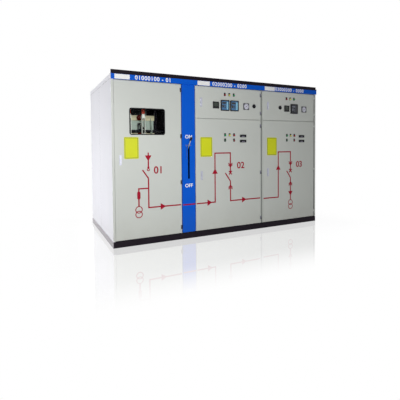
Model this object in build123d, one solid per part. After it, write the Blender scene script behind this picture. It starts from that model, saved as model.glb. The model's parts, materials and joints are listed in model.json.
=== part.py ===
from build123d import *
import math
import os

os.makedirs("parts", exist_ok=True)

# Line-up: three cubicles side by side, origin on the floor at the middle of the base
switch_width = 1145       # disconnector cubicle with its lever column
incomer_width = 1150
feeder_width = 1080
depth = 1700
base_height = 80
roof_height = 2200        # floor to the top of the roof sheets
sheet = 2.5               # folded steel sheet

# Base of rolled channels
channel_flange = 45
channel_wall = 6
anchor_radius = 9
anchor_inset = 150        # anchor hole to the end of the base
anchor_back = 25          # anchor hole to the outer face of the web

# Doors and the frame behind them
door_depth = 25
door_lip = 14             # inner fold round the back of a door
door_fold_radius = 3
frame_gap = 5             # back of a closed door to the frame
foot_gap = 8              # base to the lower edge of a door
instrument_door_height = 445
seam_gap = 8              # instrument door to breaker door
side_gap = 5.5            # free edge of a door to its neighbour
hinge_gap = 14            # hinged edge of a door to its neighbour
hinge_strip = 43          # frame that shows beside the incomer doors' hinges
corner_return = 25        # front and rear folds of the side panels
post_overlap = 20         # frame that a door edge covers
post_depth = 40
roof_lip = 57
roof_seam = 2
side_seam = 3
side_seam_share = 0.51    # place of the side seam along the depth
cover_depth = 25
cover_gap = 3

# Header band and the angle on the front edge of the roof
header_height = 80
header_rise = 10          # band above the roof sheets
header_proud = 20
header_gap = 8
angle_leg = 50
angle_wall = 5

# Lever column, lever and shaft
column_width = 195
column_gap = 2
slot_width = 26
lever_height = 1069       # shaft above the floor
lever_back = 197          # shaft behind the column's face
lever_angle = 48          # rod above level at rest
lever_reach = 396         # shaft to the knob
lever_rod_radius = 8
lever_hub_radius = 25
lever_hub_width = 60
lever_shaft_radius = 12
lever_flange_radius = 32
lever_flange = 8
knob_radius = 17
knob_length = 52
knob_socket = 20          # rod inside the knob
lever_clearance = 0.3
slot_clearance = 7.5

# Hinges
knuckle_radius = 6
knuckle_length = 27
pin_radius = 3
pin_clearance = 0.3
leaf_wall = 4
leaf_depth = 10
leaf_setback = 4          # leaf behind the door's face
hinge_plate_width = 14    # plate of the leaf on the door's face
hinge_plate_wall = 3

# Window in the disconnector door
window_width = 478        # outside of the rubber frame
window_height = 346
window_inset = 192        # door edge to the rubber frame
window_drop = 340         # door top to the rubber frame
window_corner = 28
rubber_proud = 4
rubber_hold = 5           # rubber over the sheet and over the glass
rubber_web = 3
glass_wall = 2.5

# Handles
handle_length = 130
handle_width = 30
handle_plate = 5
paddle_length = 96
paddle_width = 20
paddle_depth = 11
lock_length = 84
lock_width = 22
lock_depth = 18
handle_inset = 92         # door edge to the middle of a handle
switch_handle_inset = 73
switch_handle_height = 1115
breaker_handle_height = 868
instrument_handle_drop = 222

# Panel devices
cutout_clearance = 0.5
meter_size = 96
meter_bezel = 12
meter_case = 90
meter_back = 60
meter_recess = 4
meter_frame = 9
dial_radius = 43          # sunk face of an ammeter
relay_width = 138
relay_height = 154
relay_bezel = 20
relay_case_width = 126
relay_case_height = 142
relay_back = 150
relay_frame = 12
relay_recess = 6
selector_radius = 28
selector_plate = 8
selector_grip_width = 12
selector_grip = 20
selector_body = 19
selector_back = 55
lamp_plate_width = 30
lamp_plate_height = 46
lamp_plate = 2
lamp_bezel_radius = 14.5
lamp_bezel = 6
lamp_lens_radius = 14
lamp_lens = 10
lamp_body_radius = 11
lamp_back = 45
lamp_pitch = 76
button_radius = 11
button_travel = 4
counter_width = 106
counter_height = 40
counter_bezel = 14
counter_corner = 6
counter_window_width = 52
counter_window_height = 14
counter_case_width = 96
counter_case_height = 30
counter_back = 50
counter_recess = 3

# Places on the doors, from the door's left edge or its top
lamp_drop = 101
instrument_drop = 252
selector_rise = 10
incomer_lamp_inset = 472
incomer_meter_inset = 276
feeder_selector_inset = 302
feeder_lamp_inset = 457
meter_gap = 30            # power meter to the first relay
relay_gap = 20
ammeter_gap = 92
incomer_selector_gap = 68
feeder_selector_gap = 55
breaker_lamp_drop = 232
button_drop = 309
incomer_breaker_lamp_inset = 474
feeder_breaker_lamp_inset = 466
incomer_counter_inset = 728
feeder_counter_inset = 714
counter_drop = 239
counter_pitch = 77

# Instrument compartments
tray_depth = 400

# Three-pole disconnector
pole_pitch = 200
pole_inset = 123          # side of the line-up to the first pole
beam_back = 650           # door face to the beams
beam_height = 75
beam_depth = 40
beam_wall = 5
beam_length = 760
jaw_drop = 494            # roof to the jaws
blade_reach = 263         # blade hinge to the jaw
insulator_length = 210
insulator_core = 24
insulator_shed = 40
insulator_cap = 30
insulator_cap_length = 18
insulator_sheds = 4
contact_width = 36
contact_depth = 60
contact_height = 50
blade_pin_share = 2 / 3   # place of the blades along the contacts
blade_wall = 6
blade_depth = 40
blade_clearance = 0.3
blade_pin_radius = 8
blade_pin_head = 12
blade_pin_head_wall = 4
bar_width = 40
bar_wall = 10
bar_drop = 170            # lower bars below the hinge contacts
plate_drop = 191          # jaws to the foot of the back plate
upright_size = 40

# Drive of the disconnector: a shaft with forked cranks, and insulating rods to the blades
drive_radius = 14
drive_clearance = 0.3
drive_back = 45           # shaft in front of the beams
drive_gap = 8             # hubs above the lower posts
drive_inset = 30          # side of the line-up to the end of the shaft
drive_wall_gap = 6        # shaft to the hole in the lever wall
crank_share = 0.38        # cranks, and the rods' pins on the blades, as a share of the blade's reach
crank_hub_radius = 24
crank_width = 28
crank_wall = 8
rod_radius = 11
rod_eye_radius = 16
rod_eye_width = 24
rod_pin_radius = 7
rod_play = 0.5            # eye to the arms of its fork
bearing_wall = 8
bearing_foot = 15         # bracket where it meets the beams
bearing_eye = 30          # bracket round the shaft
bearing_inset = 60        # ends of the beams to the brackets

overrun = 10              # cutters past the faces that they open

# Planes that the pieces share
total_width = switch_width + incomer_width + feeder_width
x_left = -total_width / 2
x_switch = x_left + switch_width
x_feeder = x_switch + incomer_width
x_right = total_width / 2
y_front = -depth / 2
y_rear = depth / 2
y_frame = y_front + door_depth + frame_gap
y_post = y_frame + post_depth
y_cover = y_rear - sheet
y_rear_frame = y_cover - cover_depth
y_rear_post = y_rear_frame - post_depth
z_floor = base_height + sheet
z_roof = roof_height - sheet
z_header = roof_height + header_rise - header_height
z_door = base_height + foot_gap
z_door_top = z_header - header_gap
z_seam_high = z_door_top - instrument_door_height
z_seam_low = z_seam_high - seam_gap
x_column = x_switch - column_gap - column_width
x_column_end = x_switch - column_gap
x_column_mid = (x_column + x_column_end) / 2
x_switch_door = x_left + sheet + corner_return + side_gap
x_switch_hinge = x_column - hinge_gap
x_incomer_door = x_switch + side_gap
x_incomer_hinge = x_feeder - hinge_strip
x_feeder_door = x_feeder + side_gap / 2
x_feeder_hinge = x_right - sheet - corner_return - hinge_gap
hinge_offset = hinge_gap / 2
x_lever_wall = (x_switch_hinge + x_column) / 2
y_beam = y_front + beam_back
y_contact = y_beam - insulator_length
y_blade = y_contact - contact_depth * blade_pin_share
y_drive = y_beam - drive_back
z_jaw = roof_height - jaw_drop
z_hinge = z_jaw - blade_reach
z_drive = z_hinge + insulator_shed + drive_gap + crank_hub_radius
crank_radius = blade_reach * crank_share

# Directions
along_x = (1, 0, 0)
up = (0, 0, 1)
forward = (0, -1, 0)


def block(x0, x1, y0, y1, z0, z1):
    """Solid between six planes."""
    middle = Pos((x0 + x1) / 2, (y0 + y1) / 2, (z0 + z1) / 2)
    return middle * Box(x1 - x0, y1 - y0, z1 - z0)


def tube_along_x(x0, x1, y0, y1, z0, z1):
    """Open square tube of folded sheet that runs along X."""
    bore = block(x0 - overrun, x1 + overrun, y0 + sheet, y1 - sheet, z0 + sheet, z1 - sheet)
    return block(x0, x1, y0, y1, z0, z1) - bore


def tube_along_z(x0, x1, y0, y1, z0, z1):
    """Open square tube of folded sheet that stands up."""
    bore = block(x0 + sheet, x1 - sheet, y0 + sheet, y1 - sheet, z0 - overrun, z1 + overrun)
    return block(x0, x1, y0, y1, z0, z1) - bore


def disc(radius, length, x, y, z, direction):
    """Cylinder that starts at a point and runs along a direction."""
    face = Plane(origin=(x, y, z), z_dir=direction)
    return extrude(face * Circle(radius), length)


def front_plate(width, height, corner, x, z, y, thickness):
    """Rounded plate whose back lies at y, standing out towards the viewer."""
    face = Plane(origin=(x, y, z), x_dir=along_x, z_dir=forward)
    return extrude(face * RectangleRounded(width, height, corner), thickness)


def tray(x0, x1, z0, z1, y_face, tray_depth_y, lip):
    """Folded sheet panel, open at the back, with rounded outer folds and an inner lip."""
    y_back = y_face + tray_depth_y
    body = block(x0, x1, y_face, y_back, z0, z1)
    body = fillet(body.faces().sort_by(Axis.Y)[0].edges(), door_fold_radius)
    room = block(x0 + sheet, x1 - sheet, y_face + sheet, y_back - sheet, z0 + sheet, z1 - sheet)
    mouth = block(x0 + sheet + lip, x1 - sheet - lip, y_face + sheet, y_back + overrun,
                  z0 + sheet + lip, z1 - sheet - lip)
    return body - room - mouth


def save(name, *solids):
    """Write one node, made of one solid or of like solids that stand apart."""
    shape = solids[0] if len(solids) == 1 else Compound(children=list(solids))
    export_step(shape, f"parts/{name}.step")


# Base
def long_channel(side):
    """Front or rear channel with its flanges turned inwards and two anchor holes."""
    x0 = x_left + channel_wall
    x1 = x_right - channel_wall
    y_web = side * depth / 2
    y_tip = side * (depth / 2 - channel_flange)
    y_inner = side * (depth / 2 - channel_wall)
    body = block(x0, x1, min(y_web, y_tip), max(y_web, y_tip), 0, base_height)
    y_open = y_tip - side * overrun
    body -= block(x0 - overrun, x1 + overrun, min(y_inner, y_open), max(y_inner, y_open),
                  channel_wall, base_height - channel_wall)
    y_hole = side * (depth / 2 - anchor_back)
    for x_hole in (x_left + anchor_inset, x_right - anchor_inset):
        body -= disc(anchor_radius, channel_wall + overrun, x_hole, y_hole, -overrun / 2, up)
    return body


def end_channel(side):
    """End channel: a full web, with flanges coped to meet the long channels."""
    x_web = side * total_width / 2
    x_inner = side * (total_width / 2 - channel_wall)
    x_tip = side * (total_width / 2 - channel_flange)
    y_cope = depth / 2 - channel_flange
    body = block(min(x_web, x_inner), max(x_web, x_inner), y_front, y_rear, 0, base_height)
    for z0 in (0, base_height - channel_wall):
        body += block(min(x_web, x_tip), max(x_web, x_tip), -y_cope, y_cope, z0, z0 + channel_wall)
    return body


def cross_channel(x):
    """Channel under a partition, between the flange tips of the long channels."""
    y_tip = depth / 2 - channel_flange
    half = channel_flange / 2
    body = block(x - half, x + half, -y_tip, y_tip, 0, base_height)
    return body - block(x - half + channel_wall, x + half + overrun, -y_tip - overrun, y_tip + overrun,
                        channel_wall, base_height - channel_wall)


save("base_long_channels", long_channel(-1), long_channel(1))
save("base_end_channels", end_channel(-1), end_channel(1))
save("base_cross_channels", cross_channel(x_switch), cross_channel(x_feeder))

# Floor, frame and skins
x_inner_left = x_left + 2 * sheet
x_inner_right = x_right - 2 * sheet
half_seam = roof_seam / 2
bays = ((x_inner_left, x_switch), (x_switch, x_feeder), (x_feeder, x_inner_right))
save("floor_plates", *[block(x0 + half_seam, x1 - half_seam, y_frame, y_rear_frame, base_height, z_floor)
                       for x0, x1 in bays])

post_spans = (
    (x_inner_left, x_switch_door + post_overlap),
    (x_switch_hinge - post_overlap, x_column + post_overlap),
    (x_column_end - post_overlap, x_incomer_door + post_overlap),
    (x_incomer_hinge - post_overlap, x_feeder_door + post_overlap),
    (x_feeder_hinge - post_overlap, x_inner_right),
)
y_side_seam = y_front + depth * side_seam_share
half_post = post_depth / 2
posts = []
for x0, x1 in post_spans:
    posts.append(tube_along_z(x0, x1, y_frame, y_post, z_floor, z_roof))
    posts.append(tube_along_z(x0, x1, y_rear_post, y_rear_frame, z_floor, z_roof))
for x0, x1 in ((x_inner_left, x_inner_left + post_depth), (x_inner_right - post_depth, x_inner_right)):
    posts.append(tube_along_z(x0, x1, y_side_seam - half_post, y_side_seam + half_post, z_floor, z_roof))
save("frame_posts", *posts)

rails = []
for span, after in zip(post_spans, post_spans[1:]):
    x0 = span[1]
    x1 = after[0]
    for y0 in (y_frame, y_rear_post):
        rails.append(tube_along_x(x0, x1, y0, y0 + post_depth, z_door_top - post_overlap, z_roof))
        rails.append(tube_along_x(x0, x1, y0, y0 + post_depth, z_floor, z_door + post_overlap))
breaker_posts = post_spans[-3:]
for span, after in zip(breaker_posts, breaker_posts[1:]):
    rails.append(tube_along_x(span[1], after[0], y_frame, y_post, z_seam_low - post_overlap,
                              z_seam_high + post_overlap))
save("frame_rails", *rails)


def partition(x):
    """Sheet wall across the depth of the line-up."""
    return block(x - sheet / 2, x + sheet / 2, y_post, y_rear_post, z_floor, z_roof)


drive_hole = disc(drive_radius + drive_wall_gap, 2 * overrun, x_lever_wall - overrun, y_drive, z_drive,
                  along_x)
save("partitions", partition(x_lever_wall) - drive_hole, partition(x_switch), partition(x_feeder))


def side_panels(side):
    """Front and rear sheets of one side, each with a fold round its corner."""
    outer = total_width / 2 - sheet
    inner = outer - sheet
    fold = outer - corner_return
    panels = []
    for y_corner, y_join, way in ((y_front, y_side_seam - side_seam / 2, 1),
                                  (y_cover, y_side_seam + side_seam / 2, -1)):
        y_fold = y_corner + way * sheet
        x_pair = sorted((side * outer, side * inner))
        fold_pair = sorted((side * outer, side * fold))
        y_pair = sorted((y_corner, y_join))
        y_fold_pair = sorted((y_corner, y_fold))
        panel = block(*x_pair, *y_pair, base_height, z_roof)
        panels.append(panel + block(*fold_pair, *y_fold_pair, base_height, z_roof))
    return panels


save("left_side_panels", *side_panels(-1))
save("right_side_panels", *side_panels(1))


def roof_panel(x0, x1, left_lip, right_lip):
    """Roof sheet with its rear edge, and an end edge where it has one, folded down."""
    z_lip = roof_height - roof_lip
    panel = block(x0, x1, y_front, y_rear, z_roof, roof_height)
    panel += block(x0, x1, y_cover, y_rear, z_lip, roof_height)
    if left_lip:
        panel += block(x0, x0 + sheet, y_front, y_rear, z_lip, roof_height)
    if right_lip:
        panel += block(x1 - sheet, x1, y_front, y_rear, z_lip, roof_height)
    return panel


save("roof_panels",
     roof_panel(x_left, x_switch - half_seam, True, False),
     roof_panel(x_switch + half_seam, x_feeder - half_seam, False, False),
     roof_panel(x_feeder + half_seam, x_right, False, True))


def rear_cover(x0, x1):
    """Bolted cover, folded like a door and turned to the rear."""
    cover = tray(-x1, -x0, base_height + cover_gap, z_roof - cover_gap, -y_cover, cover_depth, door_lip)
    return Rot(0, 0, 180) * cover


cover_left = x_left + sheet + corner_return + cover_gap
cover_right = x_right - sheet - corner_return - cover_gap
half_cover = cover_gap / 2
save("rear_covers",
     rear_cover(cover_left, x_switch - half_cover),
     rear_cover(x_switch + half_cover, x_feeder - half_cover),
     rear_cover(x_feeder + half_cover, cover_right))

# Angle and header band along the front of the roof
top_angle = block(x_left, x_right, y_front, y_front + angle_wall, roof_height, roof_height + angle_leg)
top_angle += block(x_left, x_right, y_front, y_front + angle_leg, roof_height, roof_height + angle_wall)
save("top_angle", top_angle)
save("header_band", tray(x_left, x_right, z_header, z_header + header_height, y_front - header_proud,
                         header_proud, 0))

# Lever column and the lever on its shaft
slot_half = lever_back * math.tan(math.radians(lever_angle)) \
    + lever_rod_radius / math.cos(math.radians(lever_angle)) + slot_clearance
y_lever = y_front + lever_back
column = tray(x_column, x_column_end, z_door, z_door_top, y_front, y_frame - y_front, door_lip)
slot_cut = front_plate(slot_width, 2 * slot_half, slot_width / 2 - sheet / 2, x_column_mid, lever_height,
                       y_front + door_depth / 2, door_depth)
save("lever_column", column - slot_cut)

x_shaft = x_lever_wall + sheet / 2
x_shaft_end = x_switch - sheet / 2
shaft = disc(lever_shaft_radius, x_shaft_end - x_shaft, x_shaft, y_lever, lever_height, along_x)
for x in (x_shaft, x_shaft_end - lever_flange):
    shaft += disc(lever_flange_radius, lever_flange, x, y_lever, lever_height, along_x)
save("lever_shaft", shaft)

lever_way = (0, -math.cos(math.radians(lever_angle)), math.sin(math.radians(lever_angle)))


def lever_point(reach):
    """Point on the lever's rod, at a distance from its shaft."""
    return (x_column_mid, y_lever + reach * lever_way[1], lever_height + reach * lever_way[2])


hub_start = x_column_mid - lever_hub_width / 2
lever = disc(lever_hub_radius, lever_hub_width, hub_start, y_lever, lever_height, along_x)
lever += disc(lever_rod_radius, lever_reach + knob_socket, *lever_point(0), lever_way)
lever -= disc(lever_shaft_radius + lever_clearance, lever_hub_width + 2 * overrun, hub_start - overrun,
              y_lever, lever_height, along_x)
save("lever_arm", lever)


def knob():
    """Turned grip, fuller at its end, with a socket for the rod."""
    neck = lever_rod_radius + sheet
    belly_share = 0.6
    with BuildPart() as grip:
        with BuildSketch(Plane.XZ):
            with BuildLine():
                Polyline((0, knob_length), (0, 0), (neck, 0))
                Spline((neck, 0), (knob_radius, knob_length * belly_share), (0, knob_length),
                       tangents=((0, 1), (-1, 0)))
            make_face()
        revolve(axis=Axis.Z)
    body = grip.part - Pos(0, 0, knob_socket / 2) * Cylinder(lever_rod_radius, knob_socket)
    return Plane(origin=lever_point(lever_reach), x_dir=along_x, z_dir=lever_way) * body


save("lever_knob", knob())

# Hinges: a fixed pin and knuckle on the frame, a knuckle and leaf on the door's edge
hinge_axes = {
    "switch": x_switch_hinge + hinge_offset,
    "incomer": x_incomer_hinge + hinge_offset,
    "feeder": x_feeder_hinge + hinge_offset,
}
tall_hinge_shares = (0.041, 0.345, 0.655, 0.965)
breaker_hinge_shares = (0.05, 0.495, 0.945)
instrument_hinge_shares = (0.22, 0.84)


def hinge_heights(z0, z1, shares):
    return [z0 + (z1 - z0) * share for share in shares]


def hinge_pin(x, z):
    """Fixed knuckle on a plate from the post, with the pin that stands up from it."""
    pin = disc(knuckle_radius, knuckle_length, x, y_front, z - knuckle_length - pin_clearance, up)
    pin += block(x - leaf_wall / 2, x + leaf_wall / 2, y_front, y_frame,
                 z - knuckle_length - pin_clearance, z - pin_clearance)
    return pin + disc(pin_radius, knuckle_length, x, y_front, z - pin_clearance, up)


def hinge_leaf(x, z):
    """Bored knuckle with its leaf against the edge of the door and a plate on the door's face."""
    x_edge = x - hinge_offset
    y_leaf = y_front + leaf_setback
    y_plate = y_front - hinge_plate_wall
    leaf = disc(knuckle_radius, knuckle_length, x, y_front, z, up)
    leaf += block(x_edge, x, y_leaf, y_leaf + leaf_depth, z, z + knuckle_length)
    leaf += block(x_edge, x, y_plate, y_front, z, z + knuckle_length)
    leaf += block(x_edge - hinge_plate_width, x_edge, y_plate, y_front, z - knuckle_length,
                  z + knuckle_length)
    return leaf - disc(pin_radius + pin_clearance, knuckle_length + 2 * overrun, x, y_front, z - overrun, up)


door_hinges = {
    "switch_door": ("switch", hinge_heights(z_door, z_door_top, tall_hinge_shares)),
    "incomer_door": ("incomer", hinge_heights(z_door, z_seam_low, breaker_hinge_shares)),
    "feeder_door": ("feeder", hinge_heights(z_door, z_seam_low, breaker_hinge_shares)),
    "incomer_instrument_door": ("incomer", hinge_heights(z_seam_high, z_door_top, instrument_hinge_shares)),
    "feeder_instrument_door": ("feeder", hinge_heights(z_seam_high, z_door_top, instrument_hinge_shares)),
}
save("hinge_pins", *[hinge_pin(hinge_axes[cubicle], z) for cubicle, heights in door_hinges.values()
                     for z in heights])
fixed_leaves = []
for door, (cubicle, heights) in door_hinges.items():
    leaves = [hinge_leaf(hinge_axes[cubicle], z) for z in heights]
    if "instrument" in door:
        fixed_leaves += leaves
    else:
        save(f"{door}_leaves", *leaves)
save("instrument_door_leaves", *fixed_leaves)

# Handles
def handle(x, z):
    """Flush paddle handle on a rounded plate, with its lock body behind the sheet."""
    body = front_plate(handle_width, handle_length, handle_width / 3, x, z, y_front, handle_plate)
    body += front_plate(paddle_width, paddle_length, paddle_width / 3, x, z, y_front - handle_plate,
                        paddle_depth)
    return body + block(x - lock_width / 2, x + lock_width / 2, y_front, y_front + lock_depth,
                        z - lock_length / 2, z + lock_length / 2)


def handle_cut(x, z):
    half = lock_width / 2 + cutout_clearance
    rise = lock_length / 2 + cutout_clearance
    return block(x - half, x + half, y_front - overrun, y_front + overrun, z - rise, z + rise)


# Panel devices: each has a front on the sheet and a case through a cut-out
def boxed(x, z, width, height, back):
    return block(x - width / 2, x + width / 2, y_front, y_front + back, z - height / 2, z + height / 2)


def box_cut(x, z, width, height):
    w = width / 2 + cutout_clearance
    h = height / 2 + cutout_clearance
    return block(x - w, x + w, y_front - overrun, y_front + overrun, z - h, z + h)


def round_cut(x, z, radius):
    return disc(radius + cutout_clearance, 2 * overrun, x, y_front - overrun, z, (0, 1, 0))


def panel_meter(x, z):
    """Square bezel round a sunk face, with its case behind."""
    face = meter_size - 2 * meter_frame
    body = front_plate(meter_size, meter_size, meter_frame / 2, x, z, y_front, meter_bezel)
    body -= front_plate(face, face, meter_frame / 3, x, z, y_front - meter_bezel + meter_recess, meter_bezel)
    return body + boxed(x, z, meter_case, meter_case, meter_back)


def ammeter(x, z):
    """Square bezel round a sunk circular dial, with its case behind."""
    body = front_plate(meter_size, meter_size, meter_frame / 2, x, z, y_front, meter_bezel)
    body -= disc(dial_radius, meter_bezel, x, y_front - meter_bezel + meter_recess, z, forward)
    return body + boxed(x, z, meter_case, meter_case, meter_back)


def relay(x, z):
    """Protection relay: deep frame round a sunk front, with a long case."""
    body = front_plate(relay_width, relay_height, relay_frame / 2, x, z, y_front, relay_bezel)
    body -= front_plate(relay_width - 2 * relay_frame, relay_height - 2 * relay_frame, relay_frame / 3, x, z,
                        y_front - relay_bezel + relay_recess, relay_bezel)
    return body + boxed(x, z, relay_case_width, relay_case_height, relay_back)


def selector(x, z):
    """Round plate with a bar grip, on a square switch body."""
    body = disc(selector_radius, selector_plate, x, y_front, z, forward)
    body += front_plate(selector_grip_width, 2 * selector_radius, selector_grip_width / 3, x, z,
                        y_front - selector_plate, selector_grip)
    return body + boxed(x, z, 2 * selector_body, 2 * selector_body, selector_back)


def lamp(x, z):
    """Pilot lamp on a legend plate: bezel, domed lens and body through the sheet."""
    rise = lamp_plate_height / 2 - lamp_bezel_radius
    body = front_plate(lamp_plate_width, lamp_plate_height, lamp_plate, x, z + rise, y_front, lamp_plate)
    body += disc(lamp_bezel_radius, lamp_bezel, x, y_front - lamp_plate, z, forward)
    lens = disc(lamp_lens_radius, lamp_lens, x, y_front - lamp_plate - lamp_bezel, z, forward)
    lens = fillet(lens.faces().sort_by(Axis.Y)[0].edges(), lamp_lens / 2)
    return body + lens + disc(lamp_body_radius, lamp_back, x, y_front, z, (0, 1, 0))


def button(x, z):
    """Push button on the same plate, with a flat cap inside its bezel."""
    rise = lamp_plate_height / 2 - lamp_bezel_radius
    body = front_plate(lamp_plate_width, lamp_plate_height, lamp_plate, x, z + rise, y_front, lamp_plate)
    body += disc(lamp_bezel_radius, lamp_bezel, x, y_front - lamp_plate, z, forward)
    body += disc(button_radius, button_travel, x, y_front - lamp_plate - lamp_bezel, z, forward)
    return body + disc(lamp_body_radius, lamp_back, x, y_front, z, (0, 1, 0))


def counter(x, z):
    """Counter with a rounded hood and a low window, on a case through the sheet."""
    body = front_plate(counter_width, counter_height, counter_corner, x, z, y_front, counter_bezel)
    y_window = y_front - counter_bezel + counter_recess
    body -= front_plate(counter_window_width, counter_window_height, counter_recess, x,
                        z - counter_window_height / 2, y_window, counter_bezel)
    return body + boxed(x, z, counter_case_width, counter_case_height, counter_back)


# Doors
z_instruments = z_door_top - instrument_drop
z_lamps = z_door_top - lamp_drop
half_meter = meter_size / 2
half_relay = relay_width / 2

incomer_meter = x_incomer_door + incomer_meter_inset + half_meter
incomer_relays = [incomer_meter + half_meter + meter_gap + half_relay]
incomer_relays.append(incomer_relays[0] + relay_width + relay_gap)
incomer_ammeter = incomer_relays[1] + half_relay + ammeter_gap + half_meter
incomer_selector = incomer_ammeter + half_meter + incomer_selector_gap + selector_radius
feeder_selector = x_feeder_door + feeder_selector_inset + selector_radius
feeder_meter = feeder_selector + selector_radius + feeder_selector_gap + half_meter
feeder_relay = feeder_meter + half_meter + meter_gap + half_relay
feeder_ammeter = feeder_relay + half_relay + ammeter_gap + half_meter


def instrument_door(x0, x1, meters, relays, switch_x, lamp_x):
    """Upper door with the cut-outs of its instruments."""
    door = tray(x0, x1, z_seam_high, z_door_top, y_front, door_depth, door_lip)
    for x in meters:
        door -= box_cut(x, z_instruments, meter_case, meter_case)
    for x in relays:
        door -= box_cut(x, z_instruments, relay_case_width, relay_case_height)
    door -= box_cut(switch_x, z_instruments + selector_rise, 2 * selector_body, 2 * selector_body)
    for i in range(3):
        door -= round_cut(lamp_x + i * lamp_pitch, z_lamps, lamp_body_radius)
    return door - handle_cut(x0 + handle_inset, z_door_top - instrument_handle_drop)


incomer_lamps = x_incomer_door + incomer_lamp_inset
feeder_lamps = x_feeder_door + feeder_lamp_inset
save("instrument_doors",
     instrument_door(x_incomer_door, x_incomer_hinge, (incomer_meter, incomer_ammeter), incomer_relays,
                     incomer_selector, incomer_lamps),
     instrument_door(x_feeder_door, x_feeder_hinge, (feeder_meter, feeder_ammeter), (feeder_relay,),
                     feeder_selector, feeder_lamps))
save("relays", *[relay(x, z_instruments) for x in (*incomer_relays, feeder_relay)])
save("panel_meters", *[panel_meter(x, z_instruments) for x in (incomer_meter, feeder_meter)])
save("ammeters", *[ammeter(x, z_instruments) for x in (incomer_ammeter, feeder_ammeter)])
save("selector_switches", *[selector(x, z_instruments + selector_rise)
                            for x in (incomer_selector, feeder_selector)])
save("instrument_lamps", *[lamp(x + i * lamp_pitch, z_lamps) for x in (incomer_lamps, feeder_lamps)
                           for i in range(3)])
save("instrument_door_handles", *[handle(x + handle_inset, z_door_top - instrument_handle_drop)
                                  for x in (x_incomer_door, x_feeder_door)])


def breaker_door(name, x0, x1, lamp_inset, counter_inset):
    """Lower door with lamps, buttons and counters, and everything that rides on it."""
    z_row = z_seam_low - breaker_lamp_drop
    z_buttons = z_seam_low - button_drop
    lamps = [x0 + lamp_inset + i * lamp_pitch for i in range(3)]
    buttons = (lamps[0], lamps[2])
    x_counter = x0 + counter_inset + counter_width / 2
    z_counters = [z_seam_low - counter_drop - i * counter_pitch for i in range(2)]
    door = tray(x0, x1, z_door, z_seam_low, y_front, door_depth, door_lip)
    for x in lamps:
        door -= round_cut(x, z_row, lamp_body_radius)
    for x in buttons:
        door -= round_cut(x, z_buttons, lamp_body_radius)
    for z in z_counters:
        door -= box_cut(x_counter, z, counter_case_width, counter_case_height)
    save(name, door - handle_cut(x0 + handle_inset, breaker_handle_height))
    save(f"{name}_lamps", *[lamp(x, z_row) for x in lamps])
    save(f"{name}_buttons", *[button(x, z_buttons) for x in buttons])
    save(f"{name}_counters", *[counter(x_counter, z) for z in z_counters])
    save(f"{name}_handle", handle(x0 + handle_inset, breaker_handle_height))


breaker_door("incomer_door", x_incomer_door, x_incomer_hinge, incomer_breaker_lamp_inset,
             incomer_counter_inset)
breaker_door("feeder_door", x_feeder_door, x_feeder_hinge, feeder_breaker_lamp_inset, feeder_counter_inset)

# Disconnector door with its window
x_window = x_switch_door + window_inset + window_width / 2
z_window = z_door_top - window_drop - window_height / 2


def window_plate(shrink, y_back, thickness):
    """Rounded window shape, smaller than the rubber frame by a margin all round."""
    return front_plate(window_width - 2 * shrink, window_height - 2 * shrink, window_corner - shrink,
                       x_window, z_window, y_back, thickness)


x_switch_handle = x_switch_door + switch_handle_inset
switch_door = tray(x_switch_door, x_switch_hinge, z_door, z_door_top, y_front, door_depth, door_lip)
switch_door -= window_plate(rubber_hold, y_front + overrun, 2 * overrun)
save("switch_door", switch_door - handle_cut(x_switch_handle, switch_handle_height))
rubber_back = y_front + sheet + rubber_proud
rubber = window_plate(0, rubber_back, sheet + 2 * rubber_proud)
rubber -= window_plate(2 * rubber_hold + rubber_web, rubber_back + overrun,
                       2 * overrun + sheet + rubber_proud)
rubber -= window_plate(0, y_front + sheet, sheet) - window_plate(rubber_hold, y_front + sheet, sheet)
rubber -= window_plate(rubber_hold + rubber_web, y_front + glass_wall, glass_wall)
save("window_rubber", rubber)
save("window_glass", window_plate(rubber_hold + rubber_web, y_front + glass_wall, glass_wall))
save("switch_door_handle", handle(x_switch_handle, switch_handle_height))


# Instrument compartments: a folded shelf with a back wall
def instrument_tray(x0, x1):
    z_shelf = z_seam_low - post_overlap
    body = block(x0 + sheet / 2, x1 - sheet / 2, y_post, y_post + tray_depth, z_shelf, z_shelf + sheet)
    return body + block(x0 + sheet / 2, x1 - sheet / 2, y_post + tray_depth - sheet, y_post + tray_depth,
                        z_shelf, z_roof)


save("instrument_trays", instrument_tray(x_switch, x_feeder),
     instrument_tray(x_feeder, x_inner_right + sheet / 2))

# Three-pole disconnector behind the window
pole_places = [x_left + pole_inset + i * pole_pitch for i in range(3)]
x_upright = x_inner_left + beam_length


def beam(z):
    """Channel across the compartment, with its web towards the poles."""
    half = beam_height / 2
    body = block(x_inner_left, x_upright, y_beam, y_beam + beam_depth, z - half, z + half)
    return body - block(x_inner_left - overrun, x_upright + overrun, y_beam + beam_wall,
                        y_beam + beam_depth + overrun, z - half + beam_wall, z + half - beam_wall)


save("switch_beams", beam(z_jaw), beam(z_hinge))
save("switch_upright", tube_along_z(x_upright, x_upright + upright_size, y_beam, y_beam + upright_size,
                                    z_floor, z_roof))
save("switch_back_plate", block(x_inner_left, x_upright, y_beam + beam_depth, y_beam + beam_depth + sheet,
                                z_jaw - plate_drop, z_jaw))


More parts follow.
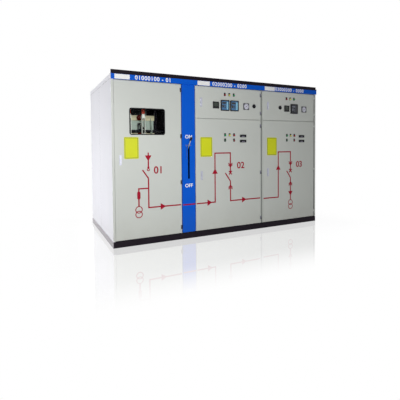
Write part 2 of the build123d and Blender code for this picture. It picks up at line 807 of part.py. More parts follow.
def post_insulator():
    """Ribbed post with a metal cap at each end, standing on the origin."""
    ribbed = insulator_length - 2 * insulator_cap_length
    step = ribbed / insulator_sheds
    rib_shares = (0.3, 0.55, 0.75)
    outline = [(0, 0), (insulator_cap, 0), (insulator_cap, insulator_cap_length),
               (insulator_core, insulator_cap_length)]
    for i in range(insulator_sheds):
        foot = insulator_cap_length + i * step
        outline.append((insulator_core, foot + step * rib_shares[0]))
        outline.append((insulator_shed, foot + step * rib_shares[1]))
        outline.append((insulator_core, foot + step * rib_shares[2]))
    top = insulator_length - insulator_cap_length
    outline += [(insulator_core, top), (insulator_cap, top), (insulator_cap, insulator_length),
                (0, insulator_length)]
    face = make_face(Plane.XZ * Polyline(*outline, close=True))
    return revolve(face, Axis.Z)


def standing(shape, x, y, z, direction):
    return Plane(origin=(x, y, z), x_dir=along_x, z_dir=direction) * shape


z_bar_top = z_roof - insulator_length
post = post_insulator()
insulators = []
for x in pole_places:
    for z in (z_jaw, z_hinge):
        insulators.append(standing(post, x, y_beam, z, forward))
    insulators.append(standing(post, x, y_blade, z_roof, (0, 0, -1)))
save("post_insulators", *insulators)


def contact(x, z):
    """Contact block on the end of a post, between the twin blades."""
    half = contact_width / 2
    return block(x - half, x + half, y_contact - contact_depth, y_contact, z - contact_height / 2,
                 z + contact_height / 2)


def hinge_contact(x):
    """Contact block with the pin that carries the blades."""
    inner = contact_width / 2 + blade_clearance
    outer = inner + blade_wall + blade_clearance
    body = contact(x, z_hinge)
    body += disc(blade_pin_radius, 2 * outer, x - outer, y_blade, z_hinge, along_x)
    for start in (x - outer - blade_pin_head_wall, x + outer):
        body += disc(blade_pin_head, blade_pin_head_wall, start, y_blade, z_hinge, along_x)
    return body


save("switch_contacts", *[contact(x, z_jaw) for x in pole_places], *[hinge_contact(x) for x in pole_places])


def twin_blade(x):
    """Two flat blades either side of the contacts, held apart by the pin of their rod."""
    inner = contact_width / 2 + blade_clearance
    length = blade_reach + blade_depth
    middle = z_hinge + blade_reach / 2
    side_plane = Plane(origin=(x, y_blade, middle), x_dir=(0, 1, 0), z_dir=along_x)
    profile = RectangleRounded(blade_depth, length, blade_depth / 3)
    hole = disc(blade_pin_radius + blade_clearance, 2 * (inner + blade_wall + overrun),
                x - inner - blade_wall - overrun, y_blade, z_hinge, along_x)
    body = disc(rod_pin_radius, 2 * inner + blade_wall, x - inner - blade_wall / 2, y_blade,
                z_hinge + crank_radius, along_x)
    for start in (-inner - blade_wall, inner):
        body += extrude(side_plane.offset(start) * profile, blade_wall)
    return body - hole


save("switch_blades", *[twin_blade(x) for x in pole_places])


def crank(x):
    """Fork of two arms on the drive shaft, with the pin that pulls a rod."""
    inner = rod_eye_width / 2 + rod_play
    outer = inner + crank_wall
    fork = disc(crank_hub_radius, 2 * outer, x - outer, y_drive, z_drive, along_x)
    fork += disc(rod_pin_radius, 2 * outer, x - outer, y_drive, z_drive + crank_radius, along_x)
    side_plane = Plane(origin=(x, y_drive, z_drive + crank_radius / 2), x_dir=(0, 0, 1), z_dir=along_x)
    for start in (-outer, inner):
        fork += extrude(side_plane.offset(start) * SlotCenterToCenter(crank_radius, crank_width), crank_wall)
    return fork


def pull_rod(x):
    """Insulating rod with an eye at each end, from the pin of a crank to the pin of its blades."""
    ends = (Vector(x, y_blade, z_hinge + crank_radius), Vector(x, y_drive, z_drive + crank_radius))
    way = ends[1] - ends[0]
    rod = disc(rod_radius, way.length, *ends[0], way)
    start = x - rod_eye_width / 2
    for end in ends:
        rod += disc(rod_eye_radius, rod_eye_width, start, end.Y, end.Z, along_x)
    bore = rod_pin_radius + drive_clearance
    for end in ends:
        rod -= disc(bore, rod_eye_width + 2 * overrun, start - overrun, end.Y, end.Z, along_x)
    return rod


def bearing(x):
    """Bracket on both beams, with a bore for the drive shaft."""
    y_foot = y_beam - bearing_foot
    y_eye = y_drive - bearing_eye
    outline = Polyline((y_beam, z_hinge), (y_beam, z_jaw), (y_foot, z_jaw), (y_eye, z_drive + bearing_eye),
                       (y_eye, z_drive - bearing_eye), (y_foot, z_hinge), close=True)
    start = x - bearing_wall / 2
    bore = drive_radius + drive_clearance
    body = extrude(Plane.YZ.offset(start) * make_face(outline), bearing_wall)
    return body - disc(bore, bearing_wall + 2 * overrun, start - overrun, y_drive, z_drive, along_x)


x_drive = x_left + drive_inset
drive_shaft = disc(drive_radius, x_column_mid - x_drive, x_drive, y_drive, z_drive, along_x)
for x in pole_places:
    drive_shaft += crank(x)
save("drive_shaft", drive_shaft)
save("pull_rods", *[pull_rod(x) for x in pole_places])
save("shaft_bearings", bearing(x_inner_left + bearing_inset), bearing(x_upright - bearing_inset))

z_hinge_foot = z_hinge - contact_height / 2
bar_spans = ((z_jaw + contact_height / 2, z_bar_top), (z_hinge_foot - bar_drop, z_hinge_foot))
half_bar = bar_width / 2
half_bar_wall = bar_wall / 2
bars = [block(x - half_bar, x + half_bar, y_blade - half_bar_wall, y_blade + half_bar_wall, *span)
        for x in pole_places for span in bar_spans]
save("busbars", *bars)
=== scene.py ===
import json
import math
from contextlib import contextmanager

import bmesh
import bpy
from mathutils import Matrix, Vector


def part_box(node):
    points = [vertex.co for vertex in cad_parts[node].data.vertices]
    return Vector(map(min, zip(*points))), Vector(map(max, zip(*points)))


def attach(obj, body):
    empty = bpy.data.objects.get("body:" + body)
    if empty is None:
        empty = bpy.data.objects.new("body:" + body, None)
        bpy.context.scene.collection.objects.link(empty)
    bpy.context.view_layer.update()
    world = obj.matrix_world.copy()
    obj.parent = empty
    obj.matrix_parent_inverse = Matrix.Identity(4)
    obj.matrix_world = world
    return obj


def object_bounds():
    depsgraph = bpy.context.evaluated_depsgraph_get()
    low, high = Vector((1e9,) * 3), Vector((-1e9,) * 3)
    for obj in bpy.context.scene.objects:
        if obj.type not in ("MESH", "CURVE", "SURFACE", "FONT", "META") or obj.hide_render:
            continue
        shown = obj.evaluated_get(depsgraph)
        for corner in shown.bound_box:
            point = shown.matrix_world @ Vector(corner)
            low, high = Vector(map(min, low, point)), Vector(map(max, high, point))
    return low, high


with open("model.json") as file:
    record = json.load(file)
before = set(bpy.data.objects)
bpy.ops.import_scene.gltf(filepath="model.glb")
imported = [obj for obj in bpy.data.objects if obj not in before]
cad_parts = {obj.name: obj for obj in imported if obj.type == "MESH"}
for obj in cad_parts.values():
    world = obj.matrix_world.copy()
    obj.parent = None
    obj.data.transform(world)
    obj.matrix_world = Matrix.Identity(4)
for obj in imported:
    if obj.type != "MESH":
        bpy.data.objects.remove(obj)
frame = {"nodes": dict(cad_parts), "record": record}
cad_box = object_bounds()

# Places on the front are in millimetres: x from the left end of the base, z from the floor
MM = 0.001
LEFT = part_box("base_end_channels")[0].x
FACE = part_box("switch_door")[0].y
OUT = Vector((0, -1, 0))
UP = Vector((0, 0, 1))
ALONG = Vector((1, 0, 0))

# Bodies that pieces ride on
CUBICLES = "cubicles"
SWITCH_DOOR = "switch_door"
INCOMER_DOOR = "incomer_door"
FEEDER_DOOR = "feeder_door"
LEVER = "lever"

LEVER_SHAFT = next(Vector(joint["pos_m"]) for joint in frame["record"]["behaviour"]["joints"]
                   if joint["name"] == "lever_turn")


def spot(x, z, out=0.0):
    """Point on the front of the line-up, so many millimetres proud of the doors."""
    return Vector((LEFT + x * MM, FACE - out * MM, z * MM))


def around(x, z, reach, angle, out):
    """Point on the front so far from a centre, at an angle from upwards."""
    return spot(x + reach * math.sin(angle), z + reach * math.cos(angle), out)


def edges_of(node):
    """Left, right, foot and top of a node, in millimetres on the front."""
    low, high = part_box(node)
    return (low.x - LEFT) / MM, (high.x - LEFT) / MM, low.z / MM, high.z / MM


def evenly(first, last, count):
    """Evenly spaced places from the first to the last."""
    return [first + (last - first) * i / (count - 1) for i in range(count)]


# Materials

def linear(code):
    """Linear colour of an sRGB hex code."""
    parts = [int(code[i:i + 2], 16) / 255 for i in (0, 2, 4)]
    return (*[c / 12.92 if c <= 0.04045 else ((c + 0.055) / 1.055) ** 2.4 for c in parts], 1.0)


def per_metre(size):
    """Texture scale that gives features about this many millimetres across."""
    return 1 / (size * MM)


def add(tree, kind, inputs=None, **settings):
    """Add a shader node with its settings, and set or link its inputs."""
    made = tree.nodes.new("ShaderNode" + kind)
    for name, value in settings.items():
        setattr(made, name, value)
    for name, value in (inputs or {}).items():
        if isinstance(value, bpy.types.NodeSocket):
            tree.links.new(value, made.inputs[name])
        else:
            made.inputs[name].default_value = value
    return made


def blank(owner):
    """Empty node tree of a material or of the world."""
    owner.use_nodes = True
    owner.node_tree.nodes.clear()
    return owner.node_tree


def start(name, **values):
    """New material: its node tree, its shader with the plain values set, and the object's coordinates."""
    material = bpy.data.materials.new(name)
    tree = blank(material)
    shader = add(tree, "BsdfPrincipled", {key.replace("_", " "): v for key, v in values.items()})
    add(tree, "OutputMaterial", {"Surface": shader.outputs["BSDF"]})
    place = add(tree, "TexCoord").outputs["Object"]
    return material, tree, shader, place


def mottle(tree, shader, pattern, code, shade, rough=None):
    """Colour, and roughness where two values of it are given, that run with a pattern."""
    tone = add(tree, "Mix", {"Factor": pattern, "A": linear(code), "B": linear(shade)}, data_type="RGBA")
    tree.links.new(tone.outputs["Result"], shader.inputs["Base Color"])
    if rough:
        sheen = add(tree, "MapRange", {"Value": pattern, "To Min": rough[0], "To Max": rough[1]})
        tree.links.new(sheen.outputs["Result"], shader.inputs["Roughness"])


def powder_coat(name, code, shade, rough, grime, shine=0.5, inside=None, beyond=None):
    """Baked powder coat on sheet steel: even colour that drifts a little, orange peel, dust near the floor.
    The peel is drawn several times as coarse as the real one so that it shows. A colour given for the
    inside covers the faces that look towards the middle of the line-up: painted shade for the dark inside
    of the closed cubicles. A place and a colour given for beyond paint what lies to the right of the place."""
    drift_size, patch_size, peel_size, peel_depth = 700, 90, 6, 0.15
    dust_top, dust_foot, most_dust, uneven = 420, 60, 0.45, 0.06
    material, tree, shader, place = start(name, Specular_IOR_Level=shine)
    axes = add(tree, "SeparateXYZ", {"Vector": place})
    drift = add(tree, "TexNoise", {"Vector": place, "Scale": per_metre(drift_size), "Detail": 3.0})
    patch = add(tree, "TexNoise", {"Vector": place, "Scale": per_metre(patch_size), "Detail": 6.0})
    low = add(tree, "MapRange", {
        "Value": axes.outputs["Z"], "From Min": dust_top * MM, "From Max": dust_foot * MM,
        "To Max": most_dust})
    dust = add(tree, "Math", {0: low.outputs["Result"], 1: patch.outputs["Fac"]}, operation="MULTIPLY")
    layers = [(drift.outputs["Fac"], shade), (dust.outputs[0], grime)]
    # Faces that look towards the middle take the inside colour: painted shade inside the closed cubicles
    if inside:
        middle = (cad_box[0] + cad_box[1]) / 2
        outward = add(tree, "VectorMath", {0: place, 1: middle}, operation="SUBTRACT")
        normal = add(tree, "NewGeometry").outputs["True Normal"]
        facing = add(tree, "VectorMath", {0: outward.outputs["Vector"], 1: normal}, operation="DOT_PRODUCT")
        inner = add(tree, "Math", {0: facing.outputs["Value"], 1: 0.0}, operation="LESS_THAN")
        layers.append((inner.outputs[0], inside))
    if beyond:
        edge, other = beyond
        past = add(tree, "Math", {0: axes.outputs["X"], 1: edge}, operation="GREATER_THAN")
        layers.append((past.outputs[0], other))
    coat = linear(code)
    for share, colour in layers:
        coat = add(tree, "Mix", {"Factor": share, "A": coat, "B": linear(colour)},
                   data_type="RGBA").outputs["Result"]
    tree.links.new(coat, shader.inputs["Base Color"])
    sheen = add(tree, "MapRange", {
        "Value": patch.outputs["Fac"], "To Min": rough - uneven, "To Max": rough + uneven})
    tree.links.new(sheen.outputs["Result"], shader.inputs["Roughness"])
    skin = add(tree, "TexNoise", {"Vector": place, "Scale": per_metre(peel_size), "Detail": 1.0})
    bump = add(tree, "Bump", {"Height": skin.outputs["Fac"], "Strength": 0.12, "Distance": peel_depth * MM})
    tree.links.new(bump.outputs["Normal"], shader.inputs["Normal"])
    return material


def galvanised(name, code, shade):
    """Zinc-coated sheet: flat spangle of crystals, each a little lighter or darker, half matt."""
    crystal, smooth, matt = 22, 0.38, 0.55
    material, tree, shader, place = start(name, Metallic=0.7)
    spangle = add(tree, "TexVoronoi", {"Vector": place, "Scale": per_metre(crystal)})
    mottle(tree, shader, spangle.outputs["Color"], code, shade)
    rough = add(tree, "MapRange", {"Value": spangle.outputs["Distance"], "To Min": smooth, "To Max": matt})
    tree.links.new(rough.outputs["Result"], shader.inputs["Roughness"])
    return material


def plated(name, code, bright, rough, streak, metal=1.0):
    """Plated or turned metal: bright, with faint upright streaks from polishing."""
    upright, polished, scuffed = (1.0, 1.0, 0.08), 0.07, 0.09
    material, tree, shader, place = start(name, Metallic=metal)
    drawn = add(tree, "Mapping", {"Vector": place, "Scale": upright})
    lines = add(tree, "TexNoise", {
        "Vector": drawn.outputs["Vector"], "Scale": per_metre(streak), "Detail": 4.0})
    mottle(tree, shader, lines.outputs["Fac"], code, bright, (rough - polished, rough + scuffed))
    return material


def hubbed(name, code, hub, rough, centre, reach):
    """Plated rod whose hub, so far from its centre, is painted dark: painted shade inside its slot, so the
    rod is bright outside its slot and dark within.
    """
    inner_share = 0.85
    material, tree, shader, place = start(name, Metallic=1.0, Roughness=rough)
    away = add(tree, "VectorMath", {0: place, 1: centre}, operation="DISTANCE")
    rod = add(tree, "MapRange", {
        "Value": away.outputs["Value"], "From Min": inner_share * reach, "From Max": reach})
    mottle(tree, shader, rod.outputs["Result"], hub, code)
    return material


def moulded(name, code, shade, rough, grain=2.5, coat=0.0, shine=0.5):
    """Moulded plastic, rubber or resin: fine grain from the mould, colour a little deeper in patches."""
    patch_size, grain_depth, uneven = 40, 0.1, 0.05
    material, tree, shader, place = start(name, Coat_Weight=coat, IOR=1.46, Specular_IOR_Level=shine)
    patch = add(tree, "TexNoise", {"Vector": place, "Scale": per_metre(patch_size), "Detail": 4.0})
    mottle(tree, shader, patch.outputs["Fac"], code, shade, (rough - uneven, rough + uneven))
    skin = add(tree, "TexNoise", {"Vector": place, "Scale": per_metre(grain), "Detail": 1.0})
    bump = add(tree, "Bump", {"Height": skin.outputs["Fac"], "Strength": 0.1, "Distance": grain_depth * MM})
    tree.links.new(bump.outputs["Normal"], shader.inputs["Normal"])
    return material


def film(name, code, shade, rough, shine=0.5):
    """Cut or printed vinyl film: strong even colour with a soft shine and slight fading."""
    fade_size, uneven = 160, 0.06
    material, tree, shader, place = start(name, IOR=1.5, Specular_IOR_Level=shine)
    fade = add(tree, "TexNoise", {"Vector": place, "Scale": per_metre(fade_size), "Detail": 3.0})
    mottle(tree, shader, fade.outputs["Fac"], code, shade, (rough - uneven, rough + uneven))
    return material


def lens(name, code, deep):
    """Acrylic lamp lens: saturated and glossy, with fine ribs that catch the light."""
    rib, rib_depth = 14, 0.4
    material, tree, shader, place = start(name, Roughness=0.24, IOR=1.49, Coat_Weight=0.15)
    ribs = add(tree, "TexWave", {"Vector": place, "Scale": per_metre(rib)}, bands_direction="X")
    mottle(tree, shader, ribs.outputs["Fac"], code, deep)
    bump = add(tree, "Bump", {"Height": ribs.outputs["Fac"], "Strength": 0.3, "Distance": rib_depth * MM})
    tree.links.new(bump.outputs["Normal"], shader.inputs["Normal"])
    return material


def clear_glass(name):
    """Laminated window glass: clear, faintly green, with a shine that grows towards grazing light. Its index
    is low so that the disconnector behind it stays in view."""
    material = bpy.data.materials.new(name)
    tree = blank(material)
    through = add(tree, "BsdfTransparent", {"Color": linear("FBFDFC")})
    shine = add(tree, "BsdfGlossy", {"Color": linear("FFFFFF"), "Roughness": 0.02})
    angle = add(tree, "Fresnel", {"IOR": 1.1})
    mixed = add(tree, "MixShader", {
        0: angle.outputs["Fac"], 1: through.outputs["BSDF"], 2: shine.outputs["BSDF"]})
    add(tree, "OutputMaterial", {"Surface": mixed.outputs["Shader"]})
    return material


LEVER_HUB = 170 * MM  # reach from its shaft of the lever's part painted dark as the shade inside its slot
DOOR_GREY = "C6C9C3"
HINGE_STEEL = ("6E6C7A", "7A7886", 0.5, "6A6872")

# Painted sheet steel: even colour with a soft gloss, dusty towards the floor
grey_coat = powder_coat("grey_powder_coat", DOOR_GREY, "BEC2BD", 0.36, "A9A79C")
# Its near-black inside colour is painted shade for the dark inside of the closed cubicles
# The near-white of the sides, roof and rear covers is partly their own pale paint and partly painted light:
# lighter than the doors' grey for the light that falls on the sides from the left
white_coat = powder_coat("white_powder_coat", "E4E4EA", "DADAE2", 0.4, "C6C2C4", inside="1A1620")
blue_coat = powder_coat("blue_powder_coat", "045AD0", "0454C4", 0.36, "2A5496", shine=0.1)
black_enamel = powder_coat("black_enamel", "120C14", "1A121D", 0.42, "2A232B", shine=0.08)
cream_enamel = powder_coat("cream_enamel", "F4E8C6", "E9DAB4", 0.4, "C8BDA0")
sage_enamel = powder_coat("sage_enamel", "C2CEC4", "B6C4BA", 0.4, "A9A79C")
# Near-black for the partitions and the switch's upright: painted shade, where the inside of the cubicles lies
# dark behind the window
painted_shade_black = powder_coat("painted_shade_black", "141018", "1A1620", 0.7, "221E24", shine=0.03)
# Lilac grey on the base's black end channels: a painted highlight, the glare of light on black enamel
painted_glare_enamel = powder_coat("painted_glare_enamel", "6A606C", "5E5460", 0.16, "7E7480", shine=0.6)
dull_steel = powder_coat("dull_steel", *HINGE_STEEL, shine=0.3)
painted_hinges = powder_coat("painted_hinges", *HINGE_STEEL, shine=0.3,
                             beyond=(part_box("feeder_door")[0].x, DOOR_GREY))
black_steel = powder_coat("blackened_steel", "1C1A22", "262330", 0.45, "332F38", shine=0.2)
# Zinc, steel and copper: bright, with streaks or crystals in the shine
inner_zinc = galvanised("galvanised_sheet", "A9AEB0", "8C9294")
bright_plate = plated("bright_plate", "C2C5C8", "DCDEE0", 0.2, 6)
turned_steel = plated("turned_steel", "A9ACB0", "D0D2D5", 0.28, 3)
# The lever's hub is painted dark: painted shade inside the column's slot
lever_plate = hubbed("plated_lever", "C6C8CC", "08080A", 0.26, LEVER_SHAFT, LEVER_HUB)
satin_zinc = plated("satin_zinc", "AAABBA", "BABCC7", 0.36, 5, metal=0.5)
silvered_copper = plated("silvered_copper", "E2E0DA", "EFEDE6", 0.42, 4, metal=0.35)
dull_pin = plated("dull_steel_pin", "6E675C", "8A8272", 0.42, 3, metal=0.7)
# Plastics, rubber and resin: glossy on fronts and insulators, matt on seals
black_plastic = moulded("black_plastic", "131316", "1B1B20", 0.42, shine=0.2)
black_gloss = moulded("black_gloss_plastic", "0C0C0F", "141418", 0.2, coat=0.1, shine=0.25)
black_rubber = moulded("black_rubber", "0E0C11", "151319", 0.62, grain=4, shine=0.06)
# Grey rubber for the seal between the breaker doors, its grey also painted shade for the gap there
gap_shade_rubber = moulded("gap_shade_rubber", "7C807C", "727672", 0.62, grain=4, shine=0.1)
dark_resin = moulded("dark_resin", "241418", "1A0E12", 0.3, grain=8, coat=0.2)
cast_resin = moulded("cast_resin", "6E1C14", "581610", 0.22, grain=8, coat=0.4)
shrink_sleeve = moulded("shrink_sleeve", "D2401F", "BC3418", 0.38, grain=5)
blue_front = moulded("blue_front", "3C74A2", "2C5A86", 0.2, coat=0.3)
# Pale blue for the strips of the blue relays: a painted reflection on their glossy fronts
painted_glint_blue = moulded("painted_glint_blue", "8CC6E0", "74B4D4", 0.2, coat=0.3)
grey_front = moulded("grey_front", "262830", "1E2028", 0.24, coat=0.1, shine=0.3)
dark_front = moulded("dark_front", "1B2028", "12161C", 0.24, coat=0.2)
light_keys = moulded("light_keys", "6C707A", "5E626C", 0.3)
meter_frame = moulded("grey_meter_frame", "44444E", "3A3A44", 0.4, shine=0.3)
green_button = moulded("green_button", "0F5A34", "0A4527", 0.3)
red_button = moulded("red_button", "A81422", "8C101C", 0.3)
# Vinyl and card: flat strong colour with little shine
red_film = film("red_vinyl", "A00C2A", "940A26", 0.4, shine=0.12)
yellow_film = film("yellow_vinyl", "D4DA26", "CACF1E", 0.4, shine=0.2)
white_film = film("white_vinyl", "F2F2F2", "E6E7E8", 0.38)
black_film = film("black_print", "1A1A1C", "242427", 0.4)
screen_film = film("green_screen", "39443A", "303A31", 0.3, shine=0.3)
dial_card = film("dial_card", "D2D2DE", "C8C8D6", 0.45, shine=0.3)
grey_card = film("grey_card", "8C8898", "807C8C", 0.45, shine=0.3)
mark_film = film("grey_print", "A6A6AE", "9A9AA4", 0.45, shine=0.3)
# Acrylic and glass: clear gloss
red_lens = lens("red_lens", "A8122C", "860C20")
yellow_lens = lens("yellow_lens", "E6DE6A", "D6CC52")
green_lens = lens("green_lens", "0C9A5A", "087E48")
window_glass = clear_glass("laminated_glass")

FINISHES = {
    "black_paint": black_enamel, "side_paint": white_coat, "door_paint": grey_coat, "blue_paint": blue_coat,
    "frame_steel": inner_zinc, "cream_paint": cream_enamel, "insulator_resin": cast_resin,
    "bar_metal": silvered_copper, "hinge_steel": black_steel, "chrome": satin_zinc,
    "lever_steel": turned_steel, "knob_plastic": black_gloss, "device_plastic": black_plastic,
    "lamp_plastic": black_plastic, "rubber": black_rubber, "glass": window_glass,
}
# The base's end channels take a painted highlight
# The lever's arm takes painted shade on its hub inside the slot
# The partitions and the switch's upright take painted shade
NODE_FINISHES = {
    "frame_posts": grey_coat, "frame_rails": grey_coat, "partitions": painted_shade_black,
    "switch_upright": painted_shade_black, "base_end_channels": painted_glare_enamel, "lever_shaft": black_steel,
    "shaft_bearings": sage_enamel, "switch_back_plate": sage_enamel, "incomer_door_leaves": dull_steel,
    "instrument_door_leaves": painted_hinges, "feeder_door_leaves": grey_coat, "ammeters": meter_frame,
    "lever_arm": lever_plate, "pull_rods": dark_resin,
}
for part in frame["record"]["subparts"]:
    slots = frame["nodes"][part["node"]].data.materials
    slots.clear()
    slots.append(NODE_FINISHES.get(part["node"], FINISHES[part["material_slot"]]))


# Shapes

def stood(name, data):
    """New object in the scene."""
    made = bpy.data.objects.new(name, data)
    bpy.context.scene.collection.objects.link(made)
    return made


@contextmanager
def fitted(name, material, body, slot=None):
    """Empty bmesh to be filled with shapes, which then becomes a finished piece that rides on a body."""
    bm = bmesh.new()
    yield bm
    bmesh.ops.recalc_face_normals(bm, faces=bm.faces)
    mesh = bpy.data.meshes.new(name)
    bm.to_mesh(mesh)
    bm.free()
    mesh.materials.append(material)
    piece = stood(name, mesh)
    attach(piece, body)


def newer(items, old):
    """Vertices or edges made since a set was taken."""
    return [item for item in items if item not in old]


def aimed(at, way):
    """Matrix that puts a shape at a point with its own upward direction along a way."""
    return Matrix.Translation(at) @ way.to_track_quat("Z", "Y").to_matrix().to_4x4()


def slab(bm, at, width, height, thick, corner=0.0, rim=0.0, turn=0.0):
    """Plate with the middle of its back at a point; corner rounds its outline, rim its front edge."""
    old, old_edges = set(bm.verts), set(bm.edges)
    half = thick * MM / 2
    bmesh.ops.create_cube(bm, size=1, matrix=Matrix.Diagonal((width * MM, thick * MM, height * MM, 1)))
    if corner:
        along = [e for e in newer(bm.edges, old_edges) if abs(e.verts[0].co.y - e.verts[1].co.y) > half]
        bmesh.ops.bevel(bm, geom=along, offset=corner * MM, segments=4, profile=0.5, affect="EDGES",
                        material=-1)
    if rim:
        front = [e for e in newer(bm.edges, old_edges) if max(v.co.y for v in e.verts) < -0.99 * half]
        bmesh.ops.bevel(bm, geom=front, offset=rim * MM, segments=2, profile=0.5, affect="EDGES",
                        material=-1)
    place = Matrix.Translation(at + OUT * half) @ Matrix.Rotation(turn, 4, "Y")
    bmesh.ops.transform(bm, matrix=place, verts=newer(bm.verts, old))


def turned(bm, at, profile, way=OUT, steps=32, sweep=math.tau, begin=0.0):
    """Profile of radii and heights, in millimetres, spun about a direction through a point."""
    old = set(bm.verts)
    points = [bm.verts.new((radius * MM, 0, height * MM)) for radius, height in profile]
    lines = [bm.edges.new(pair) for pair in zip(points, points[1:])]
    bmesh.ops.spin(bm, geom=points + lines, cent=(0, 0, 0), axis=(0, 0, 1), angle=sweep, steps=steps,
                   use_merge=sweep == math.tau)
    bmesh.ops.remove_doubles(bm, verts=newer(bm.verts, old), dist=1e-6)
    place = aimed(at, way) @ Matrix.Rotation(begin, 4, "Z")
    bmesh.ops.transform(bm, matrix=place, verts=newer(bm.verts, old))


def ring(bm, at, radius, width, thick, **spin):
    """Flat ring, or part of one, whose line runs along a radius."""
    inner, outer = radius - width / 2, radius + width / 2
    turned(bm, at, ((inner, 0), (outer, 0), (outer, thick), (inner, thick), (inner, 0)), steps=40, **spin)


def prism(bm, at, sides, radius, thick, turn=0.0):
    """Flat block of a few sides with its back at a point."""
    old = set(bm.verts)
    bmesh.ops.create_cone(bm, cap_ends=True, segments=sides, radius1=radius * MM, radius2=radius * MM,
                          depth=thick * MM)
    upright = Matrix.Rotation(math.pi / 2, 4, "X")
    place = Matrix.Translation(at + OUT * thick * MM / 2) @ Matrix.Rotation(turn, 4, "Y")
    bmesh.ops.transform(bm, matrix=place @ upright, verts=newer(bm.verts, old))


def words(bm, at, text, height, thick, align="CENTER", bold=0.0, spaced=1.0):
    """Raised figures or letters, facing out; bold widens their strokes, spaced sets them further apart."""
    cap_share = 0.69
    curve = bpy.data.curves.new("words", "FONT")
    curve.body = text
    curve.size = height * MM / cap_share
    curve.extrude = thick * MM / 2
    curve.offset = bold * MM
    curve.space_character = spaced
    curve.align_x = align
    curve.align_y = "CENTER"
    holder = bpy.data.objects.new("words", curve)
    mesh = bpy.data.meshes.new_from_object(holder)
    old = set(bm.verts)
    bm.from_mesh(mesh)
    place = Matrix.Translation(at + OUT * thick * MM / 2) @ Matrix.Rotation(math.pi / 2, 4, "X")
    bmesh.ops.transform(bm, matrix=place, verts=newer(bm.verts, old))
    bmesh.ops.remove_doubles(bm, verts=newer(bm.verts, old), dist=1e-6)
    bpy.data.objects.remove(holder)
    bpy.data.curves.remove(curve)
    bpy.data.meshes.remove(mesh)


# Mimic diagram: red film lines that run from door to door, in layers where film crosses film
LINE = 18  # width of a line
FILM = 0.8  # thickness of the film
SECOND, THIRD, FOURTH = FILM * 1.2, FILM * 1.4, FILM * 1.5
BUS = 474  # height of the line that joins the cubicles
UPWARDS, RIGHTWARDS, DOWNWARDS = 0, 1, 2  # quarter turns of an arrow head


def run(bm, *points, width=LINE, thick=FILM):
    """Line of film through points on the front, its corners butted."""
    last = len(points) - 2
    for i, (a, b) in enumerate(zip(points, points[1:])):
        way = (Vector(b) - Vector(a)).normalized()
        begin = Vector(a) + way * (width / 2 if i else 0)
        end = Vector(b) + way * (width / 2 if i < last else 0)
        middle = (begin + end) / 2
        slab(bm, spot(*middle), (end - begin).length, width, thick, turn=-math.atan2(way.y, way.x))


def arrow(bm, x, z, quarters):
    """Filled arrow head, turned so many quarter turns from upwards."""
    reach = 52
    prism(bm, spot(x, z), 3, reach, FOURTH, turn=quarters * math.pi / 2)


def feathers(bm, x, z, way):
    """Plug contact: two open chevrons, way 1 points up and -1 down."""
    reach, pitch, width = 34, 24, 14
    for tip in (z, z - way * pitch):
        for side in (-1, 1):
            run(bm, (x + side * reach, tip - way * reach), (x, tip), width=width, thick=THIRD)


def cross(bm, x, z):
    """Fixed contact of a circuit breaker."""
    arm, width = 26, 16
    run(bm, (x - arm, z - arm), (x + arm, z + arm), width=width, thick=SECOND)
    run(bm, (x - arm, z + arm), (x + arm, z - arm), width=width, thick=THIRD)


def transformer(bm, x, levels, radius):
    """Two linked circles."""
    line = 11
    for z, thick in zip(levels, (FILM, SECOND)):
        ring(bm, spot(x, z), radius, line, thick)


def switch_mimic():
    """Open disconnector above the line to the column, with a fused voltage transformer on a branch."""
    x, branch, bus, tee = 467, 335, BUS + 7, 736
    top, head, stud, contact, pivot, blade_tip = 1205, 1142, 1010, 981, 867, (388, 979)
    bus_head, bus_end = 656, 925
    fuse, fuse_size, fuse_corner = 649, (44, 106, FOURTH), 21
    coils, coil, branch_foot = (463, 402), 43, 507
    contact_radius, contact_line, stud_lap = 15, 11, 7
    with fitted("switch_door_mimic", red_film, SWITCH_DOOR) as bm:
        run(bm, (x, top), (x, stud - stud_lap))
        arrow(bm, x, head, DOWNWARDS)
        prism(bm, spot(x, stud), 16, contact_radius, SECOND)
        ring(bm, spot(x, contact), contact_radius, contact_line, FILM)
        run(bm, (x, pivot), blade_tip)
        run(bm, (x, pivot), (x, bus), (bus_end, bus))
        arrow(bm, bus_head, bus, RIGHTWARDS)
        run(bm, (x - LINE / 2, tee), (branch, tee), (branch, branch_foot))
        slab(bm, spot(branch, fuse), *fuse_size, corner=fuse_corner)
        transformer(bm, branch, coils, coil)


def column_mimic():
    """Piece of the line across the lever column."""
    begin, end = 955, 1140
    with fitted("lever_column_mimic", red_film, CUBICLES) as bm:
        run(bm, (begin, BUS), (end, BUS))


def breaker_mimic(door, bus, x_in, x_up, x_down, x_out, levels):
    """Circuit breaker between its plug contacts, fed from the left. The levels are those of the arrow beside
    it, of its upper plug, its fixed contact and its lower plug. With no way out it ends in a transformer."""
    rise, plug, contact, socket = levels
    top, pivot, lean, contact_lap = 1180, 762, 0.69, 6
    in_head, out_head = x_in + 194, x_down + 225
    foot_head, foot, coils, coil = 516, 402, (360, 296), 41
    with fitted(f"{door}_mimic", red_film, door) as bm:
        run(bm, (x_in, bus), (x_up, bus), (x_up, top), (x_down, top), (x_down, contact + contact_lap))
        arrow(bm, x_up, rise, UPWARDS)
        feathers(bm, x_down, plug, -1)
        cross(bm, x_down, contact)
        run(bm, (x_down, pivot), (x_down - lean * (contact - pivot), contact))
        feathers(bm, x_down, socket, 1)
        if x_out:
            arrow(bm, in_head, bus, RIGHTWARDS)
            run(bm, (x_down, pivot), (x_down, bus), (x_out, bus))
            arrow(bm, out_head, bus, RIGHTWARDS)
        else:
            run(bm, (x_down, pivot), (x_down, foot))
            arrow(bm, x_down, foot_head, DOWNWARDS)
            transformer(bm, x_down, coils, coil)


